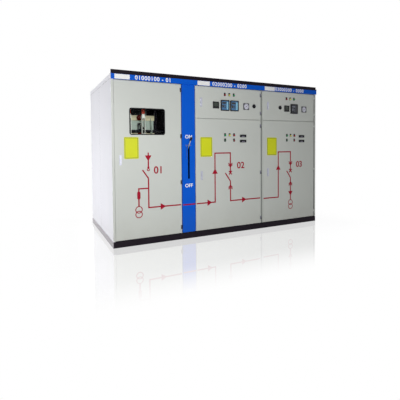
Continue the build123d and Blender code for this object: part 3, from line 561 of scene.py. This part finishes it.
switch_mimic()
column_mimic()
breaker_mimic(INCOMER_DOOR, BUS, 1162, 1455, 1712, 2243, (909, 973, 887, 702))
breaker_mimic(FEEDER_DOOR, BUS - 13, 2306, 2592, 2838, None, (923, 967, 873, 692))


# Plates and figures
PRINT = 0.2  # thickness of printed lines and figures
SHEET = 1.2  # thickness of a plate or card
HEADER_OUT = (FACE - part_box("header_band")[0].y) / MM
HEADER_EDGE = 15  # black edge strip along the top of the header


def rivet(bm, at, radius):
    """Domed rivet head."""
    turned(bm, at, ((0, 0), (radius, 0), (radius * 0.85, radius * 0.3), (radius * 0.45, radius * 0.5),
                    (0, radius * 0.55)), steps=12)


def yellow_plate(door, x, z):
    """Blank yellow plate with a black line round it, riveted at its corners."""
    width, height, margin, pen, inset, rivet_radius = 190, 280, 12, 5, 6, 3.2
    sides = (-1, 1)
    with fitted(f"{door}_yellow_plate", yellow_film, door) as bm:
        slab(bm, spot(x, z), width, height, SHEET, corner=inset, rim=0.4)
    with fitted(f"{door}_plate_border", black_film, door) as bm:
        for side in sides:
            slab(bm, spot(x, z + side * (height / 2 - margin), SHEET), width - 2 * margin + pen, pen, PRINT)
            slab(bm, spot(x + side * (width / 2 - margin), z, SHEET), pen, height - 2 * margin - pen, PRINT)
    with fitted(f"{door}_plate_rivets", bright_plate, door) as bm:
        for side in sides:
            for level in sides:
                at = spot(x + side * (width / 2 - inset), z + level * (height / 2 - inset), SHEET)
                rivet(bm, at, rivet_radius)


def header_plates(cards):
    """White card and figures over each cubicle: middle of the card, start of the figures, the figures."""
    foot, top = edges_of("header_band")[2:]
    z = (foot + top - HEADER_EDGE) / 2
    width, height, inset, rivet_radius, figure = 190, 60, 8, 3.0, 50
    with fitted("header_cards", white_film, CUBICLES) as bm:
        for x, _, _ in cards:
            slab(bm, spot(x, z, HEADER_OUT), width, height, SHEET, corner=3, rim=0.4)
    with fitted("header_card_rivets", bright_plate, CUBICLES) as bm:
        for x, _, _ in cards:
            for side in (-1, 1):
                rivet(bm, spot(x + side * (width / 2 - inset), z, HEADER_OUT + SHEET), rivet_radius)
    with fitted("header_figures", white_film, CUBICLES) as bm:
        for _, x, figures in cards:
            words(bm, spot(x, z, HEADER_OUT), figures, figure, 1.0, align="LEFT", bold=1.8, spaced=1.15)


def column_words(levels):
    """Words at the two ends of the lever's slot."""
    left, right = edges_of("lever_column")[:2]
    with fitted("lever_column_words", white_film, CUBICLES) as bm:
        for text, z in levels:
            words(bm, spot((left + right) / 2, z), text, 46, FILM, bold=1.6)


def door_figures(door, x, z, figures):
    """Number of the cubicle beside its diagram."""
    with fitted(f"{door}_figures", red_film, door) as bm:
        words(bm, spot(x, z), figures, 92, FILM, bold=2.6)


yellow_plate(SWITCH_DOOR, 247, 1267)
yellow_plate(INCOMER_DOOR, 1319, 1271)
yellow_plate(FEEDER_DOOR, 2467, 1269)
header_plates(((138, 300, "01000100 - 01"), (1275, 1410, "02000200 - 0200"), (2413, 2516, "03000300 - 0300")))
column_words((("ON", 1412), ("OFF", 736)))
door_figures(SWITCH_DOOR, 606, 967, "01")
door_figures(INCOMER_DOOR, 1891, 989, "02")
door_figures(FEEDER_DOOR, 3018, 971, "03")


# Lamps, buttons and instruments: a plate's size is its width, height and thickness
LEGEND = 30  # width of a lamp's legend plate
BEZEL = 14.5  # radius of its bezel
LENS_SEAT = 7  # back of a lens or cap, inside the bezel
RING_SEAT = 2  # back of the ring round it
LENS = ((0, 0), (14.4, 0), (14.4, 5.5), (13.4, 8.8), (10.2, 11.2), (5, 12), (0, 12.2))
CAP = ((0, 0), (11.4, 0), (11.4, 4.6), (10.4, 5.6), (8.5, 5.2), (0, 4.7))
LAMP_RING = ((14.4, 0), (15.3, 0), (15.3, 4), (14.8, 5), (14.4, 5), (14.4, 0))
RED_FIRST = {"red": red_lens, "yellow": yellow_lens, "green": green_lens}
GREEN_FIRST = {"green": green_lens, "yellow": yellow_lens, "red": red_lens}
BUTTONS = {"green": green_button, "red": red_button}
METER_SUNK = 8  # card of a meter, behind the front of its frame
RELAY = 138  # width of a relay
RELAY_STEP = 158  # from one relay to the next
COUNTER = 40  # height of a counter


def lamp_row(name, body, places, z, fronts, profile=LENS, kind="lens", rings="bezels"):
    """Row of lamps or buttons, each a domed lens or a dished cap in a black ring."""
    for x, (colour, material) in zip(places, fronts.items()):
        with fitted(f"{name}_{colour}_{kind}", material, body, "lamp_plastic") as bm:
            turned(bm, spot(x, z, LENS_SEAT), profile)
    with fitted(f"{name}_{rings}", black_gloss, body, "device_plastic") as bm:
        for x in places:
            turned(bm, spot(x, z, RING_SEAT), LAMP_RING)


def power_meter(name, x, z):
    """Display with three lines of figures and four keys, sunk in the meter's frame."""
    card, screen, key = (76, 76, 1), (58, 50, 0.5), (11, 7, 1.6)
    raised = METER_SUNK + card[2]
    keys, key_drop, screen_rise = 24, 28, 9
    top_line, line_pitch, figure = 25, 16, 10
    with fitted(f"{name}_front", black_gloss, CUBICLES, "device_plastic") as bm:
        slab(bm, spot(x, z, METER_SUNK), *card, corner=3)
        for across in evenly(x - keys, x + keys, 4):
            slab(bm, spot(across, z - key_drop, raised), *key, corner=2, rim=0.5)
    with fitted(f"{name}_display", screen_film, CUBICLES) as bm:
        slab(bm, spot(x, z + screen_rise, raised), *screen, corner=2)
    with fitted(f"{name}_display_figures", black_film, CUBICLES) as bm:
        for i, figures in enumerate(("000.0", "00.00", "0.000")):
            words(bm, spot(x, z + top_line - i * line_pitch, raised + screen[2]), figures, figure, PRINT)


def ammeter(name, x, z):
    """Round white dial with a scale and a needle, sunk in the meter's frame."""
    radius, card, sweep, ticks = 42.6, 0.6, math.radians(240), 21
    scale, pen, tick_width, long_tick, short_tick = 36, 1.2, 1.4, 8, 4.5
    figure_reach, figure = 22, 7
    needle_reach, needle = 14, (2.2, 40, 0.6)
    hub = ((0, 0), (6, 0), (6, 2), (4.5, 2.8), (0, 2.8))
    top = METER_SUNK + card
    zero, full = -sweep / 2, sweep / 2
    with fitted(f"{name}_dial", dial_card, CUBICLES) as bm:
        turned(bm, spot(x, z, METER_SUNK), ((0, 0), (radius, 0), (radius, card), (0, card)), steps=48)
    with fitted(f"{name}_scale", black_film, CUBICLES) as bm:
        for i, angle in enumerate(evenly(zero, full, ticks)):
            tick = long_tick if i % 5 == 0 else short_tick
            slab(bm, around(x, z, scale - tick / 2, angle, top), tick_width, tick, PRINT, turn=angle)
        ring(bm, spot(x, z, top), scale + pen / 2, pen, PRINT, sweep=sweep, begin=math.radians(-30))
        for figures, angle in zip("01234", evenly(zero, full, 5)):
            words(bm, around(x, z, figure_reach, angle, top), figures, figure, PRINT)
    with fitted(f"{name}_needle", black_gloss, CUBICLES, "device_plastic") as bm:
        slab(bm, around(x, z, needle_reach, zero, top + card), *needle, turn=zero)
        turned(bm, spot(x, z, top), hub, steps=20)


def relay_front(name, x, z, front, side, keys):
    """Glossy relay front: display, keypad and a side strip of indicators. On the blue relays the strip's pale
    blue is a painted reflection on the glossy front.
    """
    sunk, raised = 14, 15
    card, strip, screen, pad, key = (112, 128, 1), (28, 108, 0.6), (66, 26, 1.2), (28, 40, 1.2), (11, 10, 1.8)
    strip_right, strip_drop, screen_left, screen_rise, pad_left, pad_drop = 38, 4, 14, 36, 34, 12
    key_left, key_drop, pitch = 6, 2, 15
    lights_right, lights_top, light = 30, 38, ((0, 0), (2.4, 0), (2.2, 0.8), (0, 1.2))
    with fitted(f"{name}_front", front, CUBICLES) as bm:
        slab(bm, spot(x, z, sunk), *card, corner=4)
    with fitted(f"{name}_strip", side, CUBICLES) as bm:
        slab(bm, spot(x + strip_right, z - strip_drop, raised), *strip, corner=3)
    with fitted(f"{name}_keys", keys, CUBICLES, "device_plastic") as bm:
        slab(bm, spot(x - screen_left, z + screen_rise, raised), *screen, corner=2, rim=0.4)
        slab(bm, spot(x - pad_left, z - pad_drop, raised), *pad, corner=3, rim=0.4)
        for i in range(3):
            for j in range(2):
                at = spot(x - key_left + j * pitch, z - key_drop - i * pitch, raised)
                slab(bm, at, *key, corner=2, rim=0.5)
        for i in range(6):
            turned(bm, spot(x + lights_right, z + lights_top - i * pitch, raised + strip[2]), light, steps=12)


def selector_marks(name, x, z):
    """Position marks on the round plate, a line on the grip and a ring round the plate."""
    plate_out, grip_out, reach, line_rise = 8, 28, 24, 14
    mark, line = (1.6, 6, 0.3), (2, 20, 0.3)
    rim = ((28, 0), (30.5, 0), (30.5, 3), (29, 5), (28.1, 5), (28, 0))
    with fitted(f"{name}_marks", mark_film, CUBICLES) as bm:
        for angle in evenly(math.radians(-60), math.radians(60), 5):
            slab(bm, around(x, z, reach, angle, plate_out), *mark, turn=angle)
        slab(bm, spot(x, z + line_rise, grip_out), *line)
    with fitted(f"{name}_ring", black_gloss, CUBICLES, "device_plastic") as bm:
        turned(bm, spot(x, z), rim, steps=40)


def counter_windows(door):
    """Pale drum row with six figures in the window of each counter."""
    left, right, foot, top = edges_of(f"{door}_counters")
    x, levels = (left + right) / 2, (foot + COUNTER / 2, top - COUNTER / 2)
    sunk, drop, card, drums, figure = 11, 7, (50, 12.5, 0.5), 20, 8
    with fitted(f"{door}_counter_cards", grey_card, door) as bm:
        for z in levels:
            slab(bm, spot(x, z - drop, sunk), *card, corner=1)
    with fitted(f"{door}_counter_figures", black_film, door) as bm:
        for z in levels:
            for drum in evenly(x - drums, x + drums, 6):
                words(bm, spot(drum, z - drop, sunk + card[2]), "0", figure, PRINT)


left, right = edges_of("incomer_door_lamps")[:2]
ROW = right - left - LEGEND  # from the first lamp of a row to the last
left, right, foot, _ = edges_of("instrument_lamps")
for name, x in (("incomer", left + LEGEND / 2), ("feeder", right - LEGEND / 2 - ROW)):
    lamp_row(f"{name}_instrument", CUBICLES, evenly(x, x + ROW, 3), foot + BEZEL, RED_FIRST)
for door in (INCOMER_DOOR, FEEDER_DOOR):
    left, _, foot, _ = edges_of(f"{door}_lamps")
    x = left + LEGEND / 2
    lamp_row(door, door, evenly(x, x + ROW, 3), foot + BEZEL, GREEN_FIRST)
    left, right, foot, _ = edges_of(f"{door}_buttons")
    places = (left + LEGEND / 2, right - LEGEND / 2)
    lamp_row(door, door, places, foot + BEZEL, BUTTONS, CAP, "button", "button_bezels")
    counter_windows(door)

left, right, foot, top = edges_of("panel_meters")
METER = top - foot
row = (foot + top) / 2
power_meter("incomer_meter", left + METER / 2, row)
power_meter("feeder_meter", right - METER / 2, row)
left, right = edges_of("ammeters")[:2]
ammeter("incomer_ammeter", left + METER / 2, row)
ammeter("feeder_ammeter", right - METER / 2, row)
left, right = edges_of("relays")[:2]
# The blue relays' pale strips are a painted reflection
relay_front("first_relay", left + RELAY / 2, row, blue_front, painted_glint_blue, dark_front)
relay_front("second_relay", left + RELAY / 2 + RELAY_STEP, row, blue_front, painted_glint_blue, dark_front)
relay_front("feeder_relay", right - RELAY / 2, row, grey_front, dark_front, light_keys)
left, right, foot, top = edges_of("selector_switches")
selector = (top - foot) / 2
selector_marks("feeder_selector", right - selector, (foot + top) / 2)
selector_marks("incomer_selector", left + selector, (foot + top) / 2)


# Small fasteners, thin trim and the sleeves on the bars
BEHIND = -30  # front of the frame, where gaskets and strips sit
LOCK = ((0, 0), (7, 0), (7, 1), (5.8, 1.6), (5.6, 0.8), (0, 0.8))
PIN = ((0, 0), (2.6, 0), (3.4, 1.2), (3.4, 72), (2.4, 74), (0, 74))
PULL_RING = ((6, -1.2), (8.4, -1.2), (8.4, 1.2), (6, 1.2), (6, -1.2))
EYE = ((0, 0), (5.5, 0), (5, 2), (2, 3.2), (0, 3.4))
TALL_SHARES = (0.041, 0.345, 0.655, 0.965)  # hinges up the height of each kind of door
BREAKER_SHARES = (0.05, 0.495, 0.945)
INSTRUMENT_SHARES = (0.22, 0.84)


def socket_screw(bm, at, way, radius=8.0, rise=2.3):
    """Low domed screw with a sunk socket."""
    turned(bm, at, ((0, 0), (radius, 0), (radius * 0.94, rise * 0.45), (radius * 0.75, rise * 0.85),
                    (radius * 0.4, rise), (radius * 0.36, rise * 0.4), (0, rise * 0.4)), way=way, steps=16)


def hex_bolt(bm, at, way):
    """Hexagon head on a washer."""
    radius, crown, head, washer_radius, washer = 8.0, 7.68, 5.5, 10.8, 1.6
    turned(bm, at, ((0, 0), (washer_radius, 0), (washer_radius, washer), (0, washer)), way=way, steps=20)
    old = set(bm.verts)
    bmesh.ops.create_cone(bm, cap_ends=True, segments=6, radius1=radius * MM, radius2=crown * MM,
                          depth=head * MM)
    place = aimed(at + way * (washer + head / 2) * MM, way)
    bmesh.ops.transform(bm, matrix=place, verts=newer(bm.verts, old))


def side_screws():
    """Screws down both edges of each side sheet."""
    seam, edge, beside, foot, head = 17 * MM, 40 * MM, 35 * MM, 60 * MM, 120 * MM
    with fitted("side_screws", white_coat, CUBICLES, "side_paint") as bm:
        for node, way in (("left_side_panels", -ALONG), ("right_side_panels", ALONG)):
            low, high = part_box(node)
            x = low.x if way.x < 0 else high.x
            middle = (low.y + high.y) / 2 + seam
            for y in (low.y + edge, middle - beside, middle + beside, high.y - edge):
                for z in evenly(low.z + foot, high.z - head, 6):
                    socket_screw(bm, Vector((x, y, z)), way)


def rear_screws():
    """Screws round the edges of the three rear covers."""
    margin, head = 32 * MM, 90 * MM
    seams = [LEFT + 1145 * MM, LEFT + 2295 * MM]
    low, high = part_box("rear_covers")
    levels = evenly(low.z + margin, high.z - head, 6)
    with fitted("rear_screws", bright_plate, CUBICLES, "chrome") as bm:
        for begin, end in zip([low.x] + seams, seams + [high.x]):
            first, *between, last = evenly(begin + margin, end - margin, 5)
            for x in (first, last):
                for z in levels:
                    socket_screw(bm, Vector((x, high.y, z)), -OUT)
            for x in between:
                for z in (levels[0], levels[-1]):
                    socket_screw(bm, Vector((x, high.y, z)), -OUT)


def roof_bolts():
    """Hexagon bolts along the front and rear of the roof sheets and through the angle."""
    margin, rear, front, angle = 70 * MM, 40 * MM, 28 * MM, 5 * MM
    low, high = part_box("roof_panels")
    with fitted("roof_bolts", bright_plate, CUBICLES, "chrome") as bm:
        for x in evenly(low.x + margin, high.x - margin, 13):
            hex_bolt(bm, Vector((x, high.y - rear, high.z)), UP)
            hex_bolt(bm, Vector((x, low.y + front, high.z + angle)), UP)


def door_gasket(door):
    """Black foam strip on the frame, where the closed door's lip lands."""
    left, right, foot, top = edges_of(door)
    inset, width, thick, soft = 9, 11, 4.4, 1.5
    across, tall = right - left - 2 * inset + width, top - foot - 2 * inset - width
    with fitted(f"{door}_gasket", black_rubber, CUBICLES, "rubber") as bm:
        for z in (foot + inset, top - inset):
            slab(bm, spot((left + right) / 2, z, BEHIND), across, width, thick, rim=soft)
        for x in (left + inset, right - inset):
            slab(bm, spot(x, (foot + top) / 2, BEHIND), width, tall, thick, rim=soft)


def upright(bm, begin, end, thick, rim, out=BEHIND):
    """Strip of some thickness from one place to another, as tall as the breaker and instrument doors."""
    foot, top = edges_of(FEEDER_DOOR)[2], edges_of("instrument_doors")[3]
    slab(bm, spot((begin + end) / 2, (foot + top) / 2, out), end - begin, top - foot, thick, rim=rim)


def upright_trim():
    """Strips over the post between the breaker doors and the seal between them, and grey strips over the
    folds of the sides and in the gaps between those folds and the end doors. The seal's grey is partly
    painted shade for the dark gap between the breaker doors, and the grey skin on the left fold is partly
    painted shade for that edge falling darker than the white side."""
    leaf, gap, strip, seal_width = 10, 4, 13, 13
    post_left, post_right, seal_thick, corner_left, corner_right = 22, 28, 26, 26, 14
    fold, skin, play = 25, 0.8, 1.5
    post, free = edges_of(INCOMER_DOOR)[1] + leaf, edges_of(FEEDER_DOOR)[0] - gap
    seal = free - strip - seal_width
    left, right = edges_of("left_side_panels")[0], edges_of("right_side_panels")[1]
    begin, end = edges_of(SWITCH_DOOR)[0] - play, edges_of(FEEDER_DOOR)[1] + play
    with fitted("post_cover", grey_coat, CUBICLES, "door_paint") as bm:
        upright(bm, post, seal, post_left, 1)
        upright(bm, seal + seal_width, free, post_right, 1)
    # A seal whose grey is also painted shade, standing in for the dark gap between the breaker doors
    with fitted("post_seal", gap_shade_rubber, CUBICLES, "rubber") as bm:
        upright(bm, seal, seal + seal_width, seal_thick, 3)
    with fitted("right_corner_cover", grey_coat, CUBICLES, "door_paint") as bm:
        upright(bm, end, right - fold, corner_right, 0.8)
        upright(bm, right - fold, right, skin, 0.3, out=0)
    # The grey skin on the left fold is partly painted shade: that edge falls darker than the white side
    with fitted("left_corner_cover", grey_coat, CUBICLES, "door_paint") as bm:
        upright(bm, left + fold, begin, corner_left, 0.8)
        upright(bm, left, left + fold, skin, 0.3, out=0)


def header_trim():
    """Blue strip between the lever column and the header, and the header's black edge under the angle."""
    sunk, thick, edge = -20, 19, 0.8
    left, right, foot, top = edges_of("header_band")
    column_left, column_right, _, head = edges_of("lever_column")
    with fitted("column_head", blue_coat, CUBICLES, "blue_paint") as bm:
        slab(bm, spot((column_left + column_right) / 2, (head + foot) / 2, sunk), column_right - column_left,
             foot - head, thick, rim=0.5)
    with fitted("header_edge", black_enamel, CUBICLES, "black_paint") as bm:
        slab(bm, spot((left + right) / 2, top - HEADER_EDGE / 2, HEADER_OUT), right - left, HEADER_EDGE, edge,
             rim=0.3)


def bar_sleeves():
    """Red shrink sleeves on the upper bars, with bolts where the bars meet their contacts."""
    width, thick, lap, bare, above = 44, 14, 2 * MM, 20 * MM, 12 * MM
    half_bar, bolts = 20 * MM, (20 * MM, 60 * MM)
    low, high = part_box("busbars")
    bars = evenly(low.x + half_bar, high.x - half_bar, 3)
    foot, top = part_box("switch_contacts")[1].z + above, high.z - bare
    with fitted("bar_sleeves", shrink_sleeve, CUBICLES) as bm:
        for x in bars:
            slab(bm, Vector((x, high.y + lap, (foot + top) / 2)), width, (top - foot) / MM, thick, rim=1.5)
    with fitted("bar_bolts", bright_plate, CUBICLES, "chrome") as bm:
        for x in bars:
            for level in bolts:
                hex_bolt(bm, Vector((x, low.y, low.z + level)), OUT)


def handle_lock(name, body, x, z):
    """Key cylinder in the lower end of a paddle handle."""
    drop, out = 36, 16
    with fitted(f"{name}_lock", turned_steel, body, "lever_steel") as bm:
        turned(bm, spot(x, z - drop, out), LOCK, steps=20)


def chain_link(bm, at, length, turn):
    """Oval link of round wire, its plane turned about the vertical."""
    half, wire, sides = 2.6, 0.9, 6
    old = set(bm.verts)
    angles = [math.tau * k / sides for k in range(sides)]
    points = [bm.verts.new((0, (half + wire * math.cos(a)) * MM, wire * math.sin(a) * MM)) for a in angles]
    rim = [bm.edges.new((points[k - 1], points[k])) for k in range(sides)]
    bmesh.ops.spin(bm, geom=points + rim, cent=(0, 0, 0), axis=(1, 0, 0), angle=math.tau, steps=12,
                   use_merge=True)
    bmesh.ops.remove_doubles(bm, verts=newer(bm.verts, old), dist=1e-6)
    stretch = Matrix.Diagonal((1, 1, length / (2 * half), 1))
    place = Matrix.Translation(at) @ Matrix.Rotation(turn, 4, "Z") @ stretch
    bmesh.ops.transform(bm, matrix=place, verts=newer(bm.verts, old))


def lever_lock():
    """Pin across the lever where it leaves the slot, with a pull ring, and the short chain that keeps it."""
    clear, pin_left, ring_left = 9, 40, 46
    eye_left, eye_drop, chain_out, chain_drop = 33, 16, 4.2, 3
    links, link, pitch = 17, 11.0, 10.0
    low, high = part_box("lever_knob")
    way = ((low + high) / 2 - LEVER_SHAFT).normalized()
    at = LEVER_SHAFT + way * ((FACE - clear * MM - LEVER_SHAFT.y) / way.y)
    with fitted("lever_pin", dull_pin, LEVER, "lever_steel") as bm:
        turned(bm, at - ALONG * pin_left * MM, PIN, way=ALONG, steps=16)
        turned(bm, at - ALONG * ring_left * MM, PULL_RING, steps=20)
    eye = Vector((at.x - eye_left * MM, FACE, at.z - eye_drop * MM))
    with fitted("pin_chain", dull_pin, CUBICLES, "lever_steel") as bm:
        turned(bm, eye, EYE, steps=16)
        for i in range(links):
            drop = chain_drop + i * pitch
            chain_link(bm, eye + OUT * chain_out * MM - UP * drop * MM, link,
                       math.pi / 4 + math.pi / 2 * (i % 2))


def hinge_screws(name, body, edge, foot, top, shares):
    """Two countersunk screws in each hinge plate along a door's edge."""
    inset, apart, plate = 7, 13, 3
    with fitted(f"{name}_hinge_screws", turned_steel, body, "hinge_steel") as bm:
        for share in shares:
            z = foot + (top - foot) * share
            for side in (-apart, apart):
                socket_screw(bm, spot(edge - inset, z + side, plate), OUT, radius=3.2, rise=0.9)


lever_lock()
for door, shares in ((SWITCH_DOOR, TALL_SHARES), (INCOMER_DOOR, BREAKER_SHARES),
                     (FEEDER_DOOR, BREAKER_SHARES)):
    hinge_screws(door, door, *edges_of(door)[1:], shares)
    door_gasket(door)
    left, right, foot, top = edges_of(f"{door}_handle")
    handle_lock(f"{door}_handle", door, (left + right) / 2, (foot + top) / 2)
HALF_HANDLE = (right - left) / 2
left, right, foot, top = edges_of("instrument_door_handles")
for name, x in (("incomer", left + HALF_HANDLE), ("feeder", right - HALF_HANDLE)):
    handle_lock(f"{name}_instrument_handle", CUBICLES, x, (foot + top) / 2)
_, right, foot, top = edges_of("instrument_doors")
for name, edge in (("incomer", edges_of(INCOMER_DOOR)[1]), ("feeder", right)):
    hinge_screws(f"{name}_instrument", CUBICLES, edge, foot, top, INSTRUMENT_SHARES)
side_screws()
rear_screws()
roof_bolts()
bar_sleeves()
upright_trim()
header_trim()


# Camera, light and floor
MIRROR = 0.32  # mirror image in the floor at the base
MIRROR_FULL = 0.9  # metres from the base to which it keeps its strength
MIRROR_REACH = 1.75  # metres from the base at which it is gone
SHADOW = 0.06  # part of the floor's own shade that shows at the base
SHADOW_REACH = 1.0  # metres from the base at which it is gone
FILL = 0.13  # strength of the light from all round


def stand_camera():
    """Camera at the photograph's place: low, beyond the left end, turned a little to the right."""
    data = bpy.data.cameras.new("camera")
    data.lens = 31.2
    data.sensor_width = 36
    data.shift_x = -0.0225
    data.shift_y = -0.108
    camera = stood("camera", data)
    pan = Matrix.Rotation(math.radians(-26.897), 4, "Z")
    tilt = Matrix.Rotation(math.radians(90 - 1.981), 4, "X")
    roll = Matrix.Rotation(math.radians(-0.403), 4, "Z")
    camera.matrix_world = Matrix.Translation((-2.5635, -5.257, 1.301)) @ pan @ tilt @ roll
    bpy.context.scene.camera = camera


def soft_box(name, at, aim, size, watts, beam=180):
    """Square area lamp that faces a point."""
    data = bpy.data.lights.new(name, "AREA")
    data.energy = watts
    data.size = size
    data.spread = math.radians(beam)
    facing = (Vector(aim) - Vector(at)).to_track_quat("-Z", "Y").to_matrix().to_4x4()
    stood(name, data).matrix_world = Matrix.Translation(at) @ facing


def shown_ray(tree):
    """One for the rays of the camera, of reflections and through glass, and none for those that light."""
    ray = add(tree, "LightPath")
    seen = add(tree, "Math", {0: ray.outputs["Is Camera Ray"], 1: ray.outputs["Is Glossy Ray"]},
               operation="MAXIMUM")
    shown = add(tree, "Math", {0: seen.outputs[0], 1: ray.outputs["Is Transmission Ray"]},
                operation="MAXIMUM")
    return shown.outputs[0]


def white_room():
    """White all round for the camera, metal and glass, and a soft fill for everything else."""
    world = bpy.data.worlds.new("studio")
    bpy.context.scene.world = world
    tree = blank(world)
    soft = add(tree, "Background", {"Color": linear("FFFFFF"), "Strength": FILL})
    white = add(tree, "Background", {"Color": linear("FFFFFF"), "Strength": 1.0})
    mixed = add(tree, "MixShader", {
        0: shown_ray(tree), 1: soft.outputs["Background"], 2: white.outputs["Background"]})
    add(tree, "OutputWorld", {"Surface": mixed.outputs["Shader"]})


def lay_floor():
    """Wide white floor that keeps the shadow and mirrors the line-up faintly, less and less away from it."""
    half_width, drift_size = 30, 2500
    bm = bmesh.new()
    bmesh.ops.create_grid(bm, x_segments=1, y_segments=1, size=half_width)
    mesh = bpy.data.meshes.new("floor")
    bm.to_mesh(mesh)
    bm.free()
    material, tree, shader, place = start("floor_paint", Roughness=0.3)
    drift = add(tree, "TexNoise", {"Vector": place, "Scale": per_metre(drift_size)})
    mottle(tree, shader, drift.outputs["Fac"], "F6F6F6", "F2F2F2")
    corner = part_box("base_end_channels")[1]
    sides = add(tree, "VectorMath", {0: place}, operation="ABSOLUTE")
    beyond = add(tree, "VectorMath", {0: sides.outputs["Vector"], 1: (corner.x, corner.y, 0)},
                 operation="SUBTRACT")
    apart = add(tree, "SeparateXYZ", {"Vector": beyond.outputs["Vector"]})
    away = add(tree, "Math", {0: apart.outputs["X"], 1: apart.outputs["Y"]}, operation="MAXIMUM")
    mirrored = add(tree, "MapRange", {
        "Value": away.outputs[0], "From Min": MIRROR_FULL, "From Max": MIRROR_REACH, "To Min": MIRROR,
        "To Max": 0.0}, interpolation_type="SMOOTHSTEP")
    white = add(tree, "Emission", {"Color": linear("FFFFFF"), "Strength": 1.0})
    mirror = add(tree, "BsdfGlossy", {"Color": linear("FFFFFF"), "Roughness": 0.01})
    bright = add(tree, "MixShader", {
        0: mirrored.outputs["Result"], 1: white.outputs["Emission"], 2: mirror.outputs["BSDF"]})
    cover = add(tree, "MapRange", {
        "Value": away.outputs[0], "From Max": SHADOW_REACH, "To Min": 1 - SHADOW},
        interpolation_type="SMOOTHSTEP")
    shown = add(tree, "Math", {0: cover.outputs["Result"], 1: shown_ray(tree)}, operation="MULTIPLY")
    mixed = add(tree, "MixShader", {
        0: shown.outputs[0], 1: shader.outputs["BSDF"], 2: bright.outputs["Shader"]})
    tree.links.new(mixed.outputs["Shader"], tree.nodes["Material Output"].inputs["Surface"])
    mesh.materials.append(material)
    floor = stood("floor", mesh)


stand_camera()
soft_box("front_light", (-2.1, -5.9, 1.8), (-1.25, -0.85, 1.2), 1.2, 71, beam=112)
soft_box("left_light", (-5.0, 0.3, 0.7), (-1.7, 0.1, 0.7), 1.2, 76)
soft_box("right_light", (6.2, 0.8, 2.4), (1.7, 0.4, 1.2), 2.5, 60)
soft_box("rear_light", (0.0, 6.4, 2.6), (0.0, 0.85, 1.0), 2.5, 85)
soft_box("roof_light", (0.0, 2.6, 6.4), (0.0, 0.3, 2.25), 2.5, 85)
white_room()
lay_floor()
bpy.context.scene.view_settings.view_transform = "Standard"
